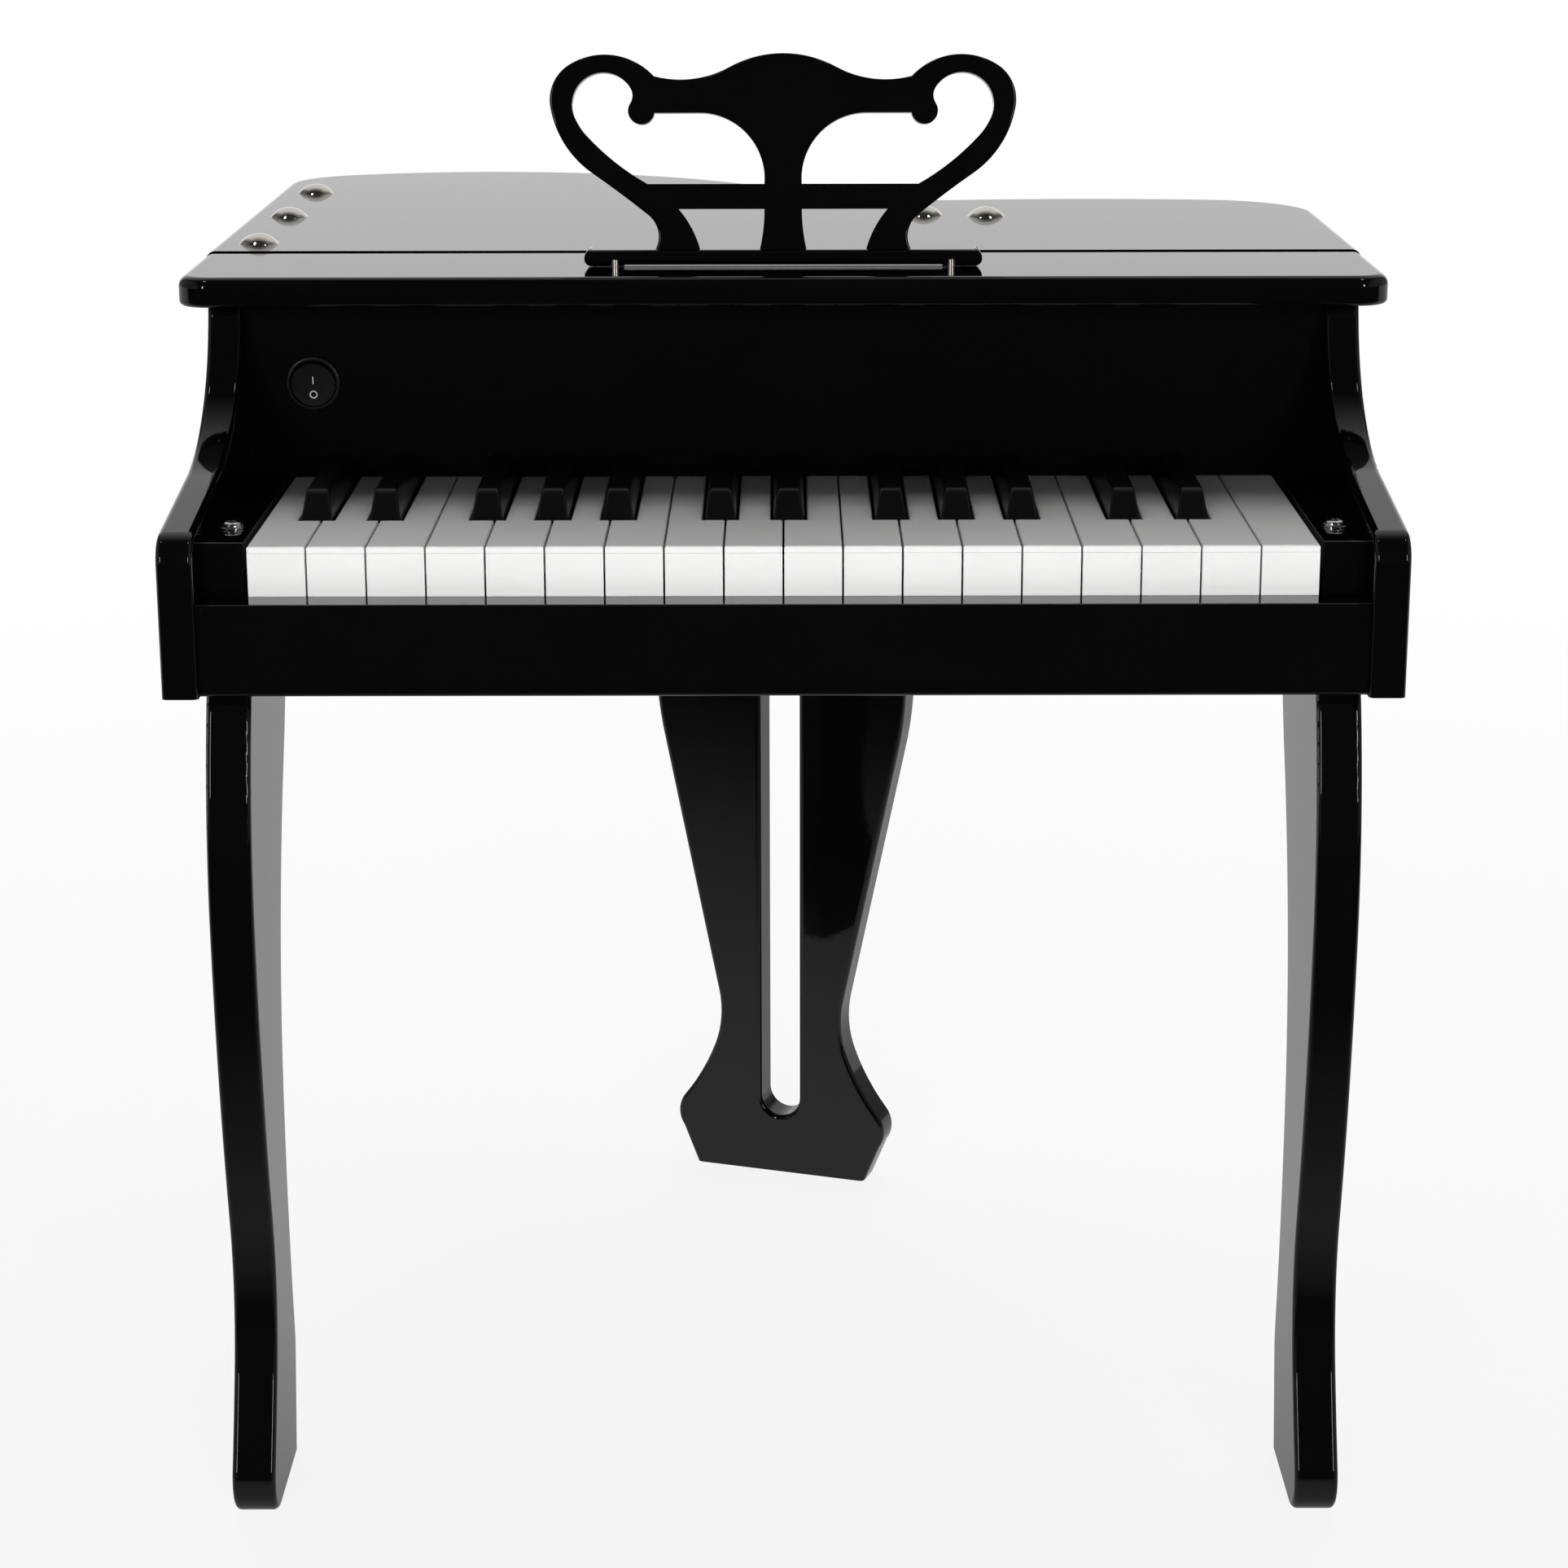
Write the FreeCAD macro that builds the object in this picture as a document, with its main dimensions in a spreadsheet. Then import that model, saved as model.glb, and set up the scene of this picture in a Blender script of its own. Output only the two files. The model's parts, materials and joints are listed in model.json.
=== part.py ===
import FreeCAD
import Part
import math
import os
import re

import Sketcher

# A black toy baby grand with an electric keyboard. Every piece is drawn in the keyboard's own frame:
# X runs along the keys, Y is 0 at the white keys' front faces and grows towards the tail, and Z is 0
# at the white keys' tops. The last placement then stands the piano on the floor, centred over it.

# White keys run from a low C, so the pattern of sharps follows from the count alone.
WHITE_KEYS = 18
NOTES = "CDEFGAB"
SHARP_AFTER = {"C": "-sharp_shift_pair", "D": "sharp_shift_pair",
               "F": "-sharp_shift_trio", "G": "0", "A": "sharp_shift_trio"}
KNUCKLES = 11
FRAME_RIBS_AFTER = (0, 4, 7, 11, 14)
SOUND_RINGS = 3

SIZES = {
    # where the keyboard frame stands over the floor
    "key_top": 408.0,
    "keys_front": -254.8,
    # white and black keys
    "key_pitch": 23.5,
    "key_gap": 0.8,
    "white_reach": 141.0,
    "key_depth": 12.0,
    "apron_drop": 25.0,
    "apron_wall": 4.0,
    "lip_depth": 2.2,
    "lip_groove": 0.6,
    "key_round": 0.8,
    "black_front": 53.0,
    "black_rise": 11.5,
    "black_width": 12.6,
    "black_crown": 9.0,
    "black_slope": 6.5,
    "black_round": 1.2,
    "black_nose": 4.5,
    "black_gap": 1.2,
    "black_arm": 8.0,
    "sharp_shift_pair": 2.2,
    "sharp_shift_trio": 3.2,
    "pivot_reach": 190.0,
    "pivot_drop": 7.0,
    "pivot_rod": 4.0,
    "pivot_play": 0.15,
    "tail_reach": 7.0,
    # case walls
    "key_end_gap": 1.0,
    "block_width": 17.0,
    "block_rise": 1.5,
    "block_screw_y": 30.0,
    "block_round": 1.5,
    "cheek_wall": 14.5,
    "cheek_front": 20.0,
    "case_drop": 57.0,
    "case_rise": 76.5,
    "nose_drop": 4.0,
    "arm_start_y": -9.5,
    "arm_start_z": 8.2,
    "arm_end_y": 62.0,
    "arm_end_z": 17.6,
    "scoop_mid_y": 112.3,
    "scoop_mid_z": 39.2,
    "scoop_top_y": 134.8,
    "cheek_round": 2.5,
    "slip_front": 16.0,
    "slip_back": 1.0,
    "slip_drop": 20.0,
    "slip_round": 2.0,
    "floor_wall": 9.0,
    "floor_lift": 2.0,
    "fallboard_wall": 9.0,
    "fallboard_gap": 1.0,
    "rim_wall": 9.0,
    "rim_fit": 0.3,
    "rim_left_y": 470.0,
    "rim_right_y": 345.0,
    # lid outline, seen from above
    "lid_overhang": 11.5,
    "lid_wall": 12.5,
    "lid_rest": 0.3,
    "lid_front": 121.0,
    "lid_corner": 14.0,
    "lid_round": 4.5,
    "lid_under_round": 2.0,
    "seam_y": 204.5,
    "seam_gap": 2.6,
    "lid_step": 0.6,
    "tail_turn_y": 482.0,
    "tail_corner_in": 26.5,
    "tail_corner_y": 523.0,
    "bend_start_x": -10.0,
    "bend_start_y": 468.0,
    "waist_start_x": 18.0,
    "waist_start_y": 432.0,
    "waist_end_x": 85.0,
    "waist_end_y": 404.5,
    "shoulder_x": 208.5,
    "shoulder_y": 404.0,
    "shoulder_turn_y": 356.0,
    # lid hinge along the straight side
    "hinge_reach": 2.7,
    "hinge_drop": 2.7,
    "hinge_start_y": 215.0,
    "hinge_run": 242.0,
    "knuckle": 4.8,
    "knuckle_gap": 0.4,
    "hinge_pin": 2.2,
    "hinge_play": 0.15,
    "lid_leaf": 1.4,
    "case_leaf": 1.2,
    "leaf_gap": 0.3,
    # domed bolts through the lid
    "dome_width": 17.8,
    "dome_rise": 4.5,
    "dome_shank": 5.0,
    "hinge_bolt_in": 20.0,
    "hinge_bolt_y": 235.0,
    "hinge_bolt_pitch": 101.0,
    # prop stick under the lid
    "prop_x": 81.6,
    "prop_y": 336.0,
    "prop_turn": -10.3,
    "prop_bolt_pitch": 29.7,
    "prop_plate_run": 46.0,
    "prop_plate_wall": 2.0,
    "prop_ear_wall": 2.5,
    "prop_ear_width": 12.0,
    "prop_pin": 4.0,
    "prop_pin_drop": 11.0,
    "prop_play": 0.3,
    "prop_stick_run": 240.0,
    "prop_stick_width": 9.0,
    "prop_stick_wall": 8.0,
    # music stand
    "stand_front": 153.8,
    "ledge_depth": 16.0,
    "ledge_wall": 7.0,
    "ledge_half": 85.0,
    "ledge_round": 3.2,
    "ledge_lift": 0.3,
    "ledge_relief": 0.75,
    "ledge_pad": 3.6,
    "stand_wall": 8.0,
    "stand_set_back": 4.4,
    "stand_lean": 8.0,
    "stand_round": 1.0,
    "stand_top": 82.5,
    "crown_x": 22.71,
    "crown_z": 76.78,
    "joint_x": 54.87,
    "joint_z": 72.91,
    "brow_x": 66.67,
    "brow_z": 80.5,
    "scroll_top_x": 91.1,
    "scroll_top_z": 77.77,
    "scroll_side_x": 99.21,
    "scroll_side_z": 59.87,
    "scroll_low_x": 81.4,
    "scroll_low_z": 32.05,
    "ankle_x": 57.65,
    "ankle_z": 14.43,
    "foot_out_x": 54.71,
    "bar_top_z": 27.57,
    "bar_wall": 10.6,
    "eye_low_x": 57.89,
    "eye_mid_x": 72.38,
    "eye_mid_z": 37.35,
    "eye_rise_x": 83.81,
    "eye_rise_z": 48.01,
    "eye_side_x": 88.76,
    "eye_side_z": 55.6,
    "eye_neck_x": 64.98,
    "eye_neck_z": 67.9,
    "knob_x": 65.11,
    "knob_z": 61.45,
    "knob_end_x": 54.79,
    "arm_under_z": 57.48,
    "stem_half": 8.0,
    "arch_run": 27.65,
    "foot_in_top_x": 44.65,
    "foot_in_mid_x": 38.88,
    "foot_in_low_x": 35.54,
    "stem_mid": 8.49,
    "stem_foot": 9.95,
    "stand_pin": 3.2,
    "stand_pin_x": 71.8,
    "stand_pin_deep": 8.0,
    "stand_pin_high": 3.2,
    "pin_play": 0.15,
    # legs
    "leg_wall": 18.0,
    "leg_round": 2.5,
    "leg_front": -0.1,
    "leg_back": 104.0,
    "knee_reach": 20.6,
    "knee_drop": 150.0,
    "shin_reach": 6.0,
    "shin_rise": 124.0,
    "ankle_reach": 11.5,
    "ankle_rise": 59.0,
    "toe_reach": 27.5,
    "toe_rise": 23.0,
    "sole_front": -14.0,
    "sole_back": 37.0,
    "heel_back": 46.2,
    "heel_rise": 43.7,
    "spur_back": 46.7,
    "spur_rise": 55.2,
    "calf_back": 43.1,
    "calf_rise": 168.3,
    "thigh_back": 82.9,
    "thigh_drop": 53.2,
    "rear_leg_y": 369.0,
    "rear_leg_turn": -18.5,
    "rear_leg_half": 66.0,
    "rear_top_rise": 268.0,
    "rear_side_in": 4.5,
    "rear_side_rise": 228.0,
    "rear_neck_in": 32.4,
    "rear_neck_rise": 96.0,
    "rear_flare_in": 30.1,
    "rear_flare_rise": 66.0,
    "rear_bulge_in": 13.2,
    "rear_bulge_rise": 36.0,
    "rear_heel_in": 12.7,
    "rear_heel_rise": 19.0,
    "rear_sole_in": 20.5,
    "rear_slot_half": 10.3,
    "rear_slot_rise": 41.0,
    "leg_bolt": 6.0,
    "leg_bolt_head": 12.0,
    "leg_bolt_head_rise": 4.0,
    "leg_bolt_run": 34.0,
    "leg_bolt_y": 24.0,
    "leg_bolt_pitch": 52.0,
    "rear_bolt_pitch": 84.0,
    "bolt_play": 0.1,
    # key chassis and contacts
    "frame_wall": 5.0,
    "frame_front": 12.0,
    "deck_front": 60.0,
    "deck_back": 120.0,
    "dome_gap": 0.3,
    "dome_height": 8.0,
    "dome_base": 8.0,
    "dome_tip": 5.0,
    "dome_y": 88.0,
    "strip_wall": 1.2,
    "strip_width": 20.0,
    "board_wall": 1.6,
    "board_width": 44.0,
    "rib_wall": 1.4,
    "post_wall": 4.0,
    "post_depth": 16.0,
    # speaker, battery box and switch
    "speaker_x": 118.0,
    "speaker_y": 290.0,
    "speaker_width": 77.0,
    "speaker_flange": 3.0,
    "speaker_cone": 50.0,
    "speaker_rise": 20.0,
    "magnet_width": 42.0,
    "magnet_rise": 12.0,
    "sound_hole": 5.0,
    "sound_ring": 13.0,
    "battery_x": -118.0,
    "battery_behind": 65.0,
    "battery_run": 64.0,
    "battery_depth": 54.0,
    "battery_rise": 17.0,
    "battery_wall": 1.8,
    "battery_flange": 5.0,
    "door_wall": 2.5,
    "door_play": 0.4,
    "switch_x": -201.0,
    "switch_z": 41.7,
    "switch_bezel": 23.6,
    "switch_bezel_rise": 2.0,
    "switch_body": 22.0,
    "switch_body_run": 18.0,
    "switch_play": 0.1,
    "rocker_width": 18.6,
    "rocker_wall": 5.0,
    "rocker_axis": 3.5,
    "rocker_proud": 0.5,
    "rocker_dish": 1.0,
    "rocker_tilt": 8.0,
    "rocker_gap": 0.8,
    "rocker_pin": 2.0,
    "screw_head": 9.6,
    "screw_head_rise": 2.4,
    "screw_shank": 4.0,
    "screw_run": 20.0,
}

# Places that several pieces share, as sums of the sizes above.
KEYS_HALF = f"({WHITE_KEYS} * key_pitch / 2)"
BLOCK_IN = f"({KEYS_HALF} + key_end_gap)"
CHEEK_IN = f"({BLOCK_IN} + block_width)"
CHEEK_OUT = f"({CHEEK_IN} + cheek_wall)"
LID_HALF = f"({CHEEK_OUT} + lid_overhang)"
FLOOR_LOW = "(floor_lift - case_drop)"
FLOOR_TOP = f"({FLOOR_LOW} + floor_wall)"
LID_TOP = "(case_rise + lid_wall)"
LID_UNDER = "(case_rise + lid_rest)"
MAIN_TOP = f"({LID_TOP} + lid_step)"
SOLE = "(-key_top)"
AXIS_X = f"(-{CHEEK_OUT} - hinge_reach)"
AXIS_Z = f"({LID_UNDER} - hinge_drop)"
CASE_LEAF_TOP = f"({LID_UNDER} - lid_leaf - leaf_gap)"
REBATE_Z = f"({CASE_LEAF_TOP} - case_leaf)"
DECK_TOP = "(-key_depth - dome_gap - dome_height - strip_wall - board_wall)"
LEDGE_LOW = f"({LID_TOP} + ledge_lift)"
STAND_FOOT = f"({LEDGE_LOW} + ledge_wall)"
BATTERY_Y = "(pivot_reach + battery_behind)"

doc = FreeCAD.newDocument("toy_piano")
sheet = doc.addObject("Spreadsheet::Sheet", "plan")
for row, (alias, value) in enumerate(SIZES.items(), start=1):
    sheet.set(f"A{row}", alias)
    sheet.set(f"B{row}", str(value))
    sheet.setAlias(f"B{row}", alias)
doc.recompute()

subparts = []


def bound(text):
    """Return an expression in which each size name points at its cell."""
    return re.sub(r"[a-z_]+", lambda word: f"plan.{word[0]}" if word[0] in SIZES else word[0], str(text))


def number(text):
    """Return the value of an expression in the sheet's sizes."""
    return float(sheet.evalExpression(bound(text)))


def vector(x, y, z):
    """Return a vector from three expressions."""
    return FreeCAD.Vector(number(x), number(y), number(z))


def bind(feature, **sizes):
    """Tie properties of a feature to expressions in the sheet's sizes."""
    for name, text in sizes.items():
        feature.setExpression(name, bound(text))
    return feature


def bind_base(feature, x, y, z):
    """Tie a feature's place to three expressions."""
    for axis, text in zip("xyz", (x, y, z)):
        feature.setExpression(f"Placement.Base.{axis}", bound(text))
    return feature


def stand_on_floor(piece, label):
    """Name a finished piece and move it from the keyboard frame to the floor frame."""
    piece.Label = label
    bind_base(piece, "0", "keys_front", "key_top")
    subparts.append(piece)
    return piece


def new_body(label):
    """Start a body that will be one piece."""
    body = doc.addObject("PartDesign::Body", label)
    return stand_on_floor(body, label)


def new_sketch(body, role, lift="0"):
    """Start a sketch on one of the body's base planes, raised along the plane's normal."""
    sketch = body.newObject("Sketcher::SketchObject", f"{body.Name}_sketch")
    plane = next(feature for feature in body.Origin.OriginFeatures if feature.Role == role)
    sketch.AttachmentSupport = [(plane, "")]
    sketch.MapMode = "FlatFace"
    sketch.setExpression(".AttachmentOffset.Base.z", bound(lift))
    return sketch


def tangent_arc(start, heading, end):
    """Return the middle of the arc that leaves start along heading and reaches end, and its turn."""
    chord = end - start
    turn = math.atan2(heading.x * chord.y - heading.y * chord.x, heading * chord)
    half = math.atan2(heading.y, heading.x) + turn / 2
    reach = chord.Length / (2 * math.cos(turn / 2))
    return start + FreeCAD.Vector(math.cos(half), math.sin(half), 0) * reach, turn


def turned(heading, angle):
    """Return a flat direction turned by an angle."""
    return FreeCAD.Vector(heading.x * math.cos(angle) - heading.y * math.sin(angle),
                          heading.x * math.sin(angle) + heading.y * math.cos(angle), 0)


def trace(sketch, start, steps):
    """Draw a closed outline of straight runs and arcs, with every corner tied to the sheet.

    A step is ("line", x, y), ("tangent", x, y) for an arc that carries on from the step before it, or
    ("via", x, y, mid_x, mid_y) for an arc through a point. An outline that opens with a tangent arc sets
    out level, to the right.
    """
    corner = vector(*start, "0")
    heading = FreeCAD.Vector(1, 0, 0)
    before = None
    corners = [start] + [step[1:3] for step in steps]
    for index, step in enumerate(steps):
        end = vector(step[1], step[2], "0")
        ends = (1, 2)
        if step[0] == "line":
            piece = Part.LineSegment(corner, end)
            heading = (end - corner).normalize()
        else:
            if step[0] == "tangent":
                middle, turn = tangent_arc(corner, heading, end)
                heading = turned(heading, 2 * turn)
            else:
                middle = vector(step[3], step[4], "0")
                turn = (middle - corner).cross(end - middle).z
                toward_end = (end - corner).normalize()
                toward_middle = (middle - corner).normalize()
                bend = math.atan2(toward_end.cross(toward_middle).z, toward_end * toward_middle)
                heading = turned(toward_end, -2 * bend)
            piece = Part.Arc(corner, middle, end) if turn > 0 else Part.Arc(end, middle, corner)
            ends = (1, 2) if turn > 0 else (2, 1)
        item = sketch.addGeometry(piece, False)
        if before is not None:
            joint = "Tangent" if step[0] == "tangent" else "Coincident"
            sketch.addConstraint(Sketcher.Constraint(joint, before[0], before[1], item, ends[0]))
        else:
            opening = (item, ends[0])
            if step[0] == "tangent":
                sketch.addConstraint(Sketcher.Constraint("Vertical", item, 3, item, ends[0]))
        pin_point(sketch, item, ends[0], corners[index])
        if step[0] == "via":
            point = sketch.addGeometry(Part.Point(middle), True)
            sketch.addConstraint(Sketcher.Constraint("PointOnObject", point, 1, item))
            pin_point(sketch, point, 1, step[3:5])
        before = (item, ends[1])
        corner = end
    sketch.addConstraint(Sketcher.Constraint("Coincident", before[0], before[1], *opening))


def pin_point(sketch, item, end, place):
    """Tie one point of a sketch to two expressions, measured from the sketch's origin."""
    for kind, text in zip(("DistanceX", "DistanceY"), place):
        index = sketch.addConstraint(Sketcher.Constraint(kind, -1, 1, item, end, number(text)))
        sketch.setExpression(f"Constraints[{index}]", bound(text))


def ring(sketch, x, y, radius):
    """Draw a circle tied to the sheet."""
    circle = Part.Circle(vector(x, y, "0"), FreeCAD.Vector(0, 0, 1), number(radius))
    item = sketch.addGeometry(circle, False)
    pin_point(sketch, item, 3, (x, y))
    index = sketch.addConstraint(Sketcher.Constraint("Radius", item, number(radius)))
    sketch.setExpression(f"Constraints[{index}]", bound(radius))


def oblong(sketch, x_low, y_low, x_high, y_high):
    """Draw a rectangle between two corners."""
    trace(sketch, (x_low, y_low),
          [("line", x_high, y_low), ("line", x_high, y_high),
           ("line", x_low, y_high), ("line", x_low, y_low)])


def pad(body, sketch, length, back=False, both=False):
    """Raise a sketch into a solid, backwards or to both sides if asked."""
    feature = body.newObject("PartDesign::Pad", f"{body.Name}_pad")
    feature.Profile = sketch
    feature.Reversed = back
    feature.Midplane = both
    return bind(feature, Length=length)


def pocket(body, sketch, length, back=False, both=False):
    """Cut a sketch's shape out of the body."""
    feature = body.newObject("PartDesign::Pocket", f"{body.Name}_pocket")
    feature.Profile = sketch
    feature.Reversed = back
    feature.Midplane = both
    return bind(feature, Length=length)


def edge_names(shape, test):
    """Return the names of the edges that pass a test."""
    return [f"Edge{index}" for index, edge in enumerate(shape.Edges, start=1) if test(edge)]


def round_edges(body, radius, test):
    """Round those edges of the body so far that pass a test."""
    doc.recompute()
    base = body.Tip
    feature = body.newObject("PartDesign::Fillet", f"{body.Name}_round")
    feature.Base = (base, edge_names(base.Shape, test))
    return bind(feature, Radius=radius)


def level(edge, axis, text):
    """Tell whether an edge lies flat at a place along an axis."""
    box = edge.BoundBox
    place = number(text)
    low, high = {"x": (box.XMin, box.XMax), "y": (box.YMin, box.YMax), "z": (box.ZMin, box.ZMax)}[axis]
    return abs(low - place) < 1e-4 and abs(high - place) < 1e-4


def block(name, low, size):
    """Return a box from its low corner and its three lengths."""
    piece = doc.addObject("Part::Box", name)
    bind(piece, Length=size[0], Width=size[1], Height=size[2])
    return bind_base(piece, *low)


def rod(name, base, radius, run, along=FreeCAD.Vector(0, 0, 1)):
    """Return a round bar from the middle of its first end."""
    piece = doc.addObject("Part::Cylinder", name)
    piece.Placement.Rotation = FreeCAD.Rotation(FreeCAD.Vector(0, 0, 1), along)
    bind(piece, Radius=radius, Height=run)
    return bind_base(piece, *base)


def joined(name, pieces):
    """Return one solid, or a set of separate solids, from several."""
    piece = doc.addObject("Part::MultiFuse", name)
    piece.Shapes = pieces
    piece.Refine = True
    return piece


def carved(name, base, tool):
    """Return a piece with a tool's shape cut out of it."""
    piece = doc.addObject("Part::Cut", name)
    piece.Base = base
    piece.Tool = tool
    return piece


def shared(name, base, tool):
    """Return what two shapes have in common."""
    piece = doc.addObject("Part::Common", name)
    piece.Base = base
    piece.Tool = tool
    return piece


def rounded(name, base, choices):
    """Return a solid with chosen edges rounded, from pairs of a radius and a test."""
    doc.recompute()
    piece = doc.addObject("Part::Fillet", name)
    piece.Base = base
    edges = []
    for radius, test in choices:
        size = number(radius)
        edges += [(int(edge[4:]), size, size) for edge in edge_names(base.Shape, test)]
    piece.Edges = edges
    return piece


def note(index):
    """Return the letter of a white key, counted from the left."""
    return NOTES[index % len(NOTES)]


def key_edge(index):
    """Return the X of the line between a white key and the one before it."""
    return f"({index} * key_pitch - {KEYS_HALF})"


def sharp_after(index):
    """Tell whether a black key stands between a white key and the next one."""
    return 0 <= index < WHITE_KEYS - 1 and note(index) in SHARP_AFTER


def sharp_middle(index):
    """Return the X of the black key that follows a white key."""
    return f"({key_edge(index + 1)} + {SHARP_AFTER[note(index)]})"


def tail_side(index, side):
    """Return the X of a white key's narrow tail on its left (-1) or right (1) side."""
    neighbour = index if side > 0 else index - 1
    if sharp_after(neighbour):
        return f"({sharp_middle(neighbour)} - ({side}) * (black_width / 2 + black_gap))"
    return head_side(index, side)


def head_side(index, side):
    """Return the X of a white key's wide head on one side."""
    return f"({key_edge(index + (side > 0))} - ({side}) * key_gap / 2)"


def tail_middle(index):
    """Return the X of the middle of a white key's tail."""
    return f"(({tail_side(index, -1)} + {tail_side(index, 1)}) / 2)"


def pivot_bore(body):
    """Bore a key for the rod that all keys swing on."""
    sketch = new_sketch(body, "YZ_Plane")
    ring(sketch, "pivot_reach", "-pivot_drop", "pivot_rod / 2 + pivot_play")
    pocket(body, sketch, f"4 * {KEYS_HALF}", both=True)


def white_key(index):
    """A white key: a notched top, a front apron under a lip, and a bored tail."""
    body = new_body(f"white_key_{index + 1:02d}")
    left, right = head_side(index, -1), head_side(index, 1)
    tail_left, tail_right = tail_side(index, -1), tail_side(index, 1)
    tail_end = "(pivot_reach + tail_reach)"
    notch = "(black_front - black_gap)"
    steps = [("line", right, "0")]
    if sharp_after(index):
        steps += [("line", right, notch), ("line", tail_right, notch)]
    steps += [("line", tail_right, tail_end), ("line", tail_left, tail_end)]
    if sharp_after(index - 1):
        steps += [("line", tail_left, notch), ("line", left, notch)]
    steps += [("line", left, "0")]
    top = new_sketch(body, "XY_Plane")
    trace(top, (left, "0"), steps)
    pad(body, top, "key_depth", back=True)
    apron = new_sketch(body, "XY_Plane")
    oblong(apron, left, "0", right, "apron_wall")
    pad(body, apron, "apron_drop", back=True)
    groove = new_sketch(body, "YZ_Plane")
    oblong(groove, "0", "-lip_depth - lip_groove", "lip_groove", "-lip_depth")
    pocket(body, groove, f"4 * {KEYS_HALF}", both=True)
    pivot_bore(body)
    round_edges(body, "key_round", lambda edge: level(edge, "z", "0") and not level(edge, "y", tail_end))


def black_key(index, count):
    """A black key: a tapered cap with a sloped front, on a bored arm that runs under the fallboard."""
    body = new_body(f"black_key_{count:02d}")
    middle = sharp_middle(index)
    back = "(white_reach - key_end_gap)"
    cap = new_sketch(body, "XZ_Plane", "-black_front")
    trace(cap, (f"{middle} - black_width / 2", "-key_depth"), [
        ("line", f"{middle} + black_width / 2", "-key_depth"),
        ("line", f"{middle} + black_width / 2", "0"),
        ("line", f"{middle} + black_crown / 2", "black_rise"),
        ("line", f"{middle} - black_crown / 2", "black_rise"),
        ("line", f"{middle} - black_width / 2", "0"),
        ("line", f"{middle} - black_width / 2", "-key_depth")])
    pad(body, cap, f"{back} - black_front", back=True)
    slope = new_sketch(body, "YZ_Plane")
    trace(slope, ("black_front", "0"), [
        ("line", "black_front + black_slope", "black_rise"),
        ("line", "black_front", "black_rise"),
        ("line", "black_front", "0")])
    pocket(body, slope, f"4 * {KEYS_HALF}", both=True)
    arm = new_sketch(body, "XY_Plane", "-key_depth")
    oblong(arm, f"{middle} - black_arm / 2", f"{back} - black_arm",
           f"{middle} + black_arm / 2", "pivot_reach + tail_reach")
    pad(body, arm, "key_depth - pivot_rod / 4")
    pivot_bore(body)
    nose = "(black_front + black_slope)"
    round_edges(body, "black_nose", lambda edge: level(edge, "z", "black_rise") and level(edge, "y", nose))
    round_edges(body, "black_round",
                lambda edge: edge.BoundBox.ZMax > 1e-4 and edge.BoundBox.YLength > 1e-4)


def side_panel(label, side):
    """A side wall whose front end sweeps down from the lid to the key cheek."""
    body = new_body(label)
    back = "rim_left_y" if side < 0 else "rim_right_y"
    sketch = new_sketch(body, "YZ_Plane", CHEEK_IN if side > 0 else f"-{CHEEK_OUT}")
    trace(sketch, ("-cheek_front", "-case_drop"), [
        ("line", "-cheek_front", "-nose_drop"),
        ("tangent", "arm_start_y", "arm_start_z"),
        ("line", "arm_end_y", "arm_end_z"),
        ("tangent", "scoop_mid_y", "scoop_mid_z"),
        ("tangent", "scoop_top_y", "case_rise"),
        ("line", back, "case_rise"),
        ("line", back, "-case_drop"),
        ("line", "-cheek_front", "-case_drop")])
    pad(body, sketch, "cheek_wall")
    if side < 0:
        rebate = new_sketch(body, "XY_Plane", REBATE_Z)
        oblong(rebate, f"-{CHEEK_OUT} - cheek_wall", "hinge_start_y", f"-{CHEEK_IN} + cheek_wall",
               "hinge_start_y + hinge_run")
        pocket(body, rebate, "case_rise", back=True)
    round_edges(body, "cheek_round",
                lambda edge: edge.BoundBox.XLength < 1e-4 and edge.BoundBox.YMin < number("scoop_mid_y")
                and edge.BoundBox.YMax < number("scoop_top_y") + 1)


def plan_wire():
    """The lid's outline from above, drawn once for the lid, the rim and the floor."""
    sketch = doc.addObject("Sketcher::SketchObject", "plan_wire")
    half = LID_HALF
    ahead = "(-2 * cheek_front)"
    trace(sketch, (f"-{half}", ahead), [
        ("line", f"-{half}", "tail_turn_y"),
        ("tangent", f"-{half} + tail_corner_in", "tail_corner_y"),
        ("tangent", "bend_start_x", "bend_start_y"),
        ("line", "waist_start_x", "waist_start_y"),
        ("tangent", "waist_end_x", "waist_end_y"),
        ("tangent", "shoulder_x", "shoulder_y"),
        ("tangent", f"{half}", "shoulder_turn_y"),
        ("line", f"{half}", ahead),
        ("line", f"-{half}", ahead)])
    return sketch


def plan_slab(name, wire, inset, low, high):
    """A slab between two heights whose edge lies inside the lid's outline by an inset."""
    edge = wire
    if inset is not None:
        edge = doc.addObject("Part::Offset2D", f"{name}_edge")
        edge.Source = wire
        edge.Join = 2
        bind(edge, Value=f"-({inset})")
    slab = doc.addObject("Part::Extrusion", name)
    slab.Base = edge
    slab.DirMode = "Custom"
    slab.Dir = FreeCAD.Vector(0, 0, 1)
    slab.Solid = True
    bind(slab, LengthFwd=f"{high} - {low}")
    slab.setExpression("Placement.Base.z", bound(low))
    return slab


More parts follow.
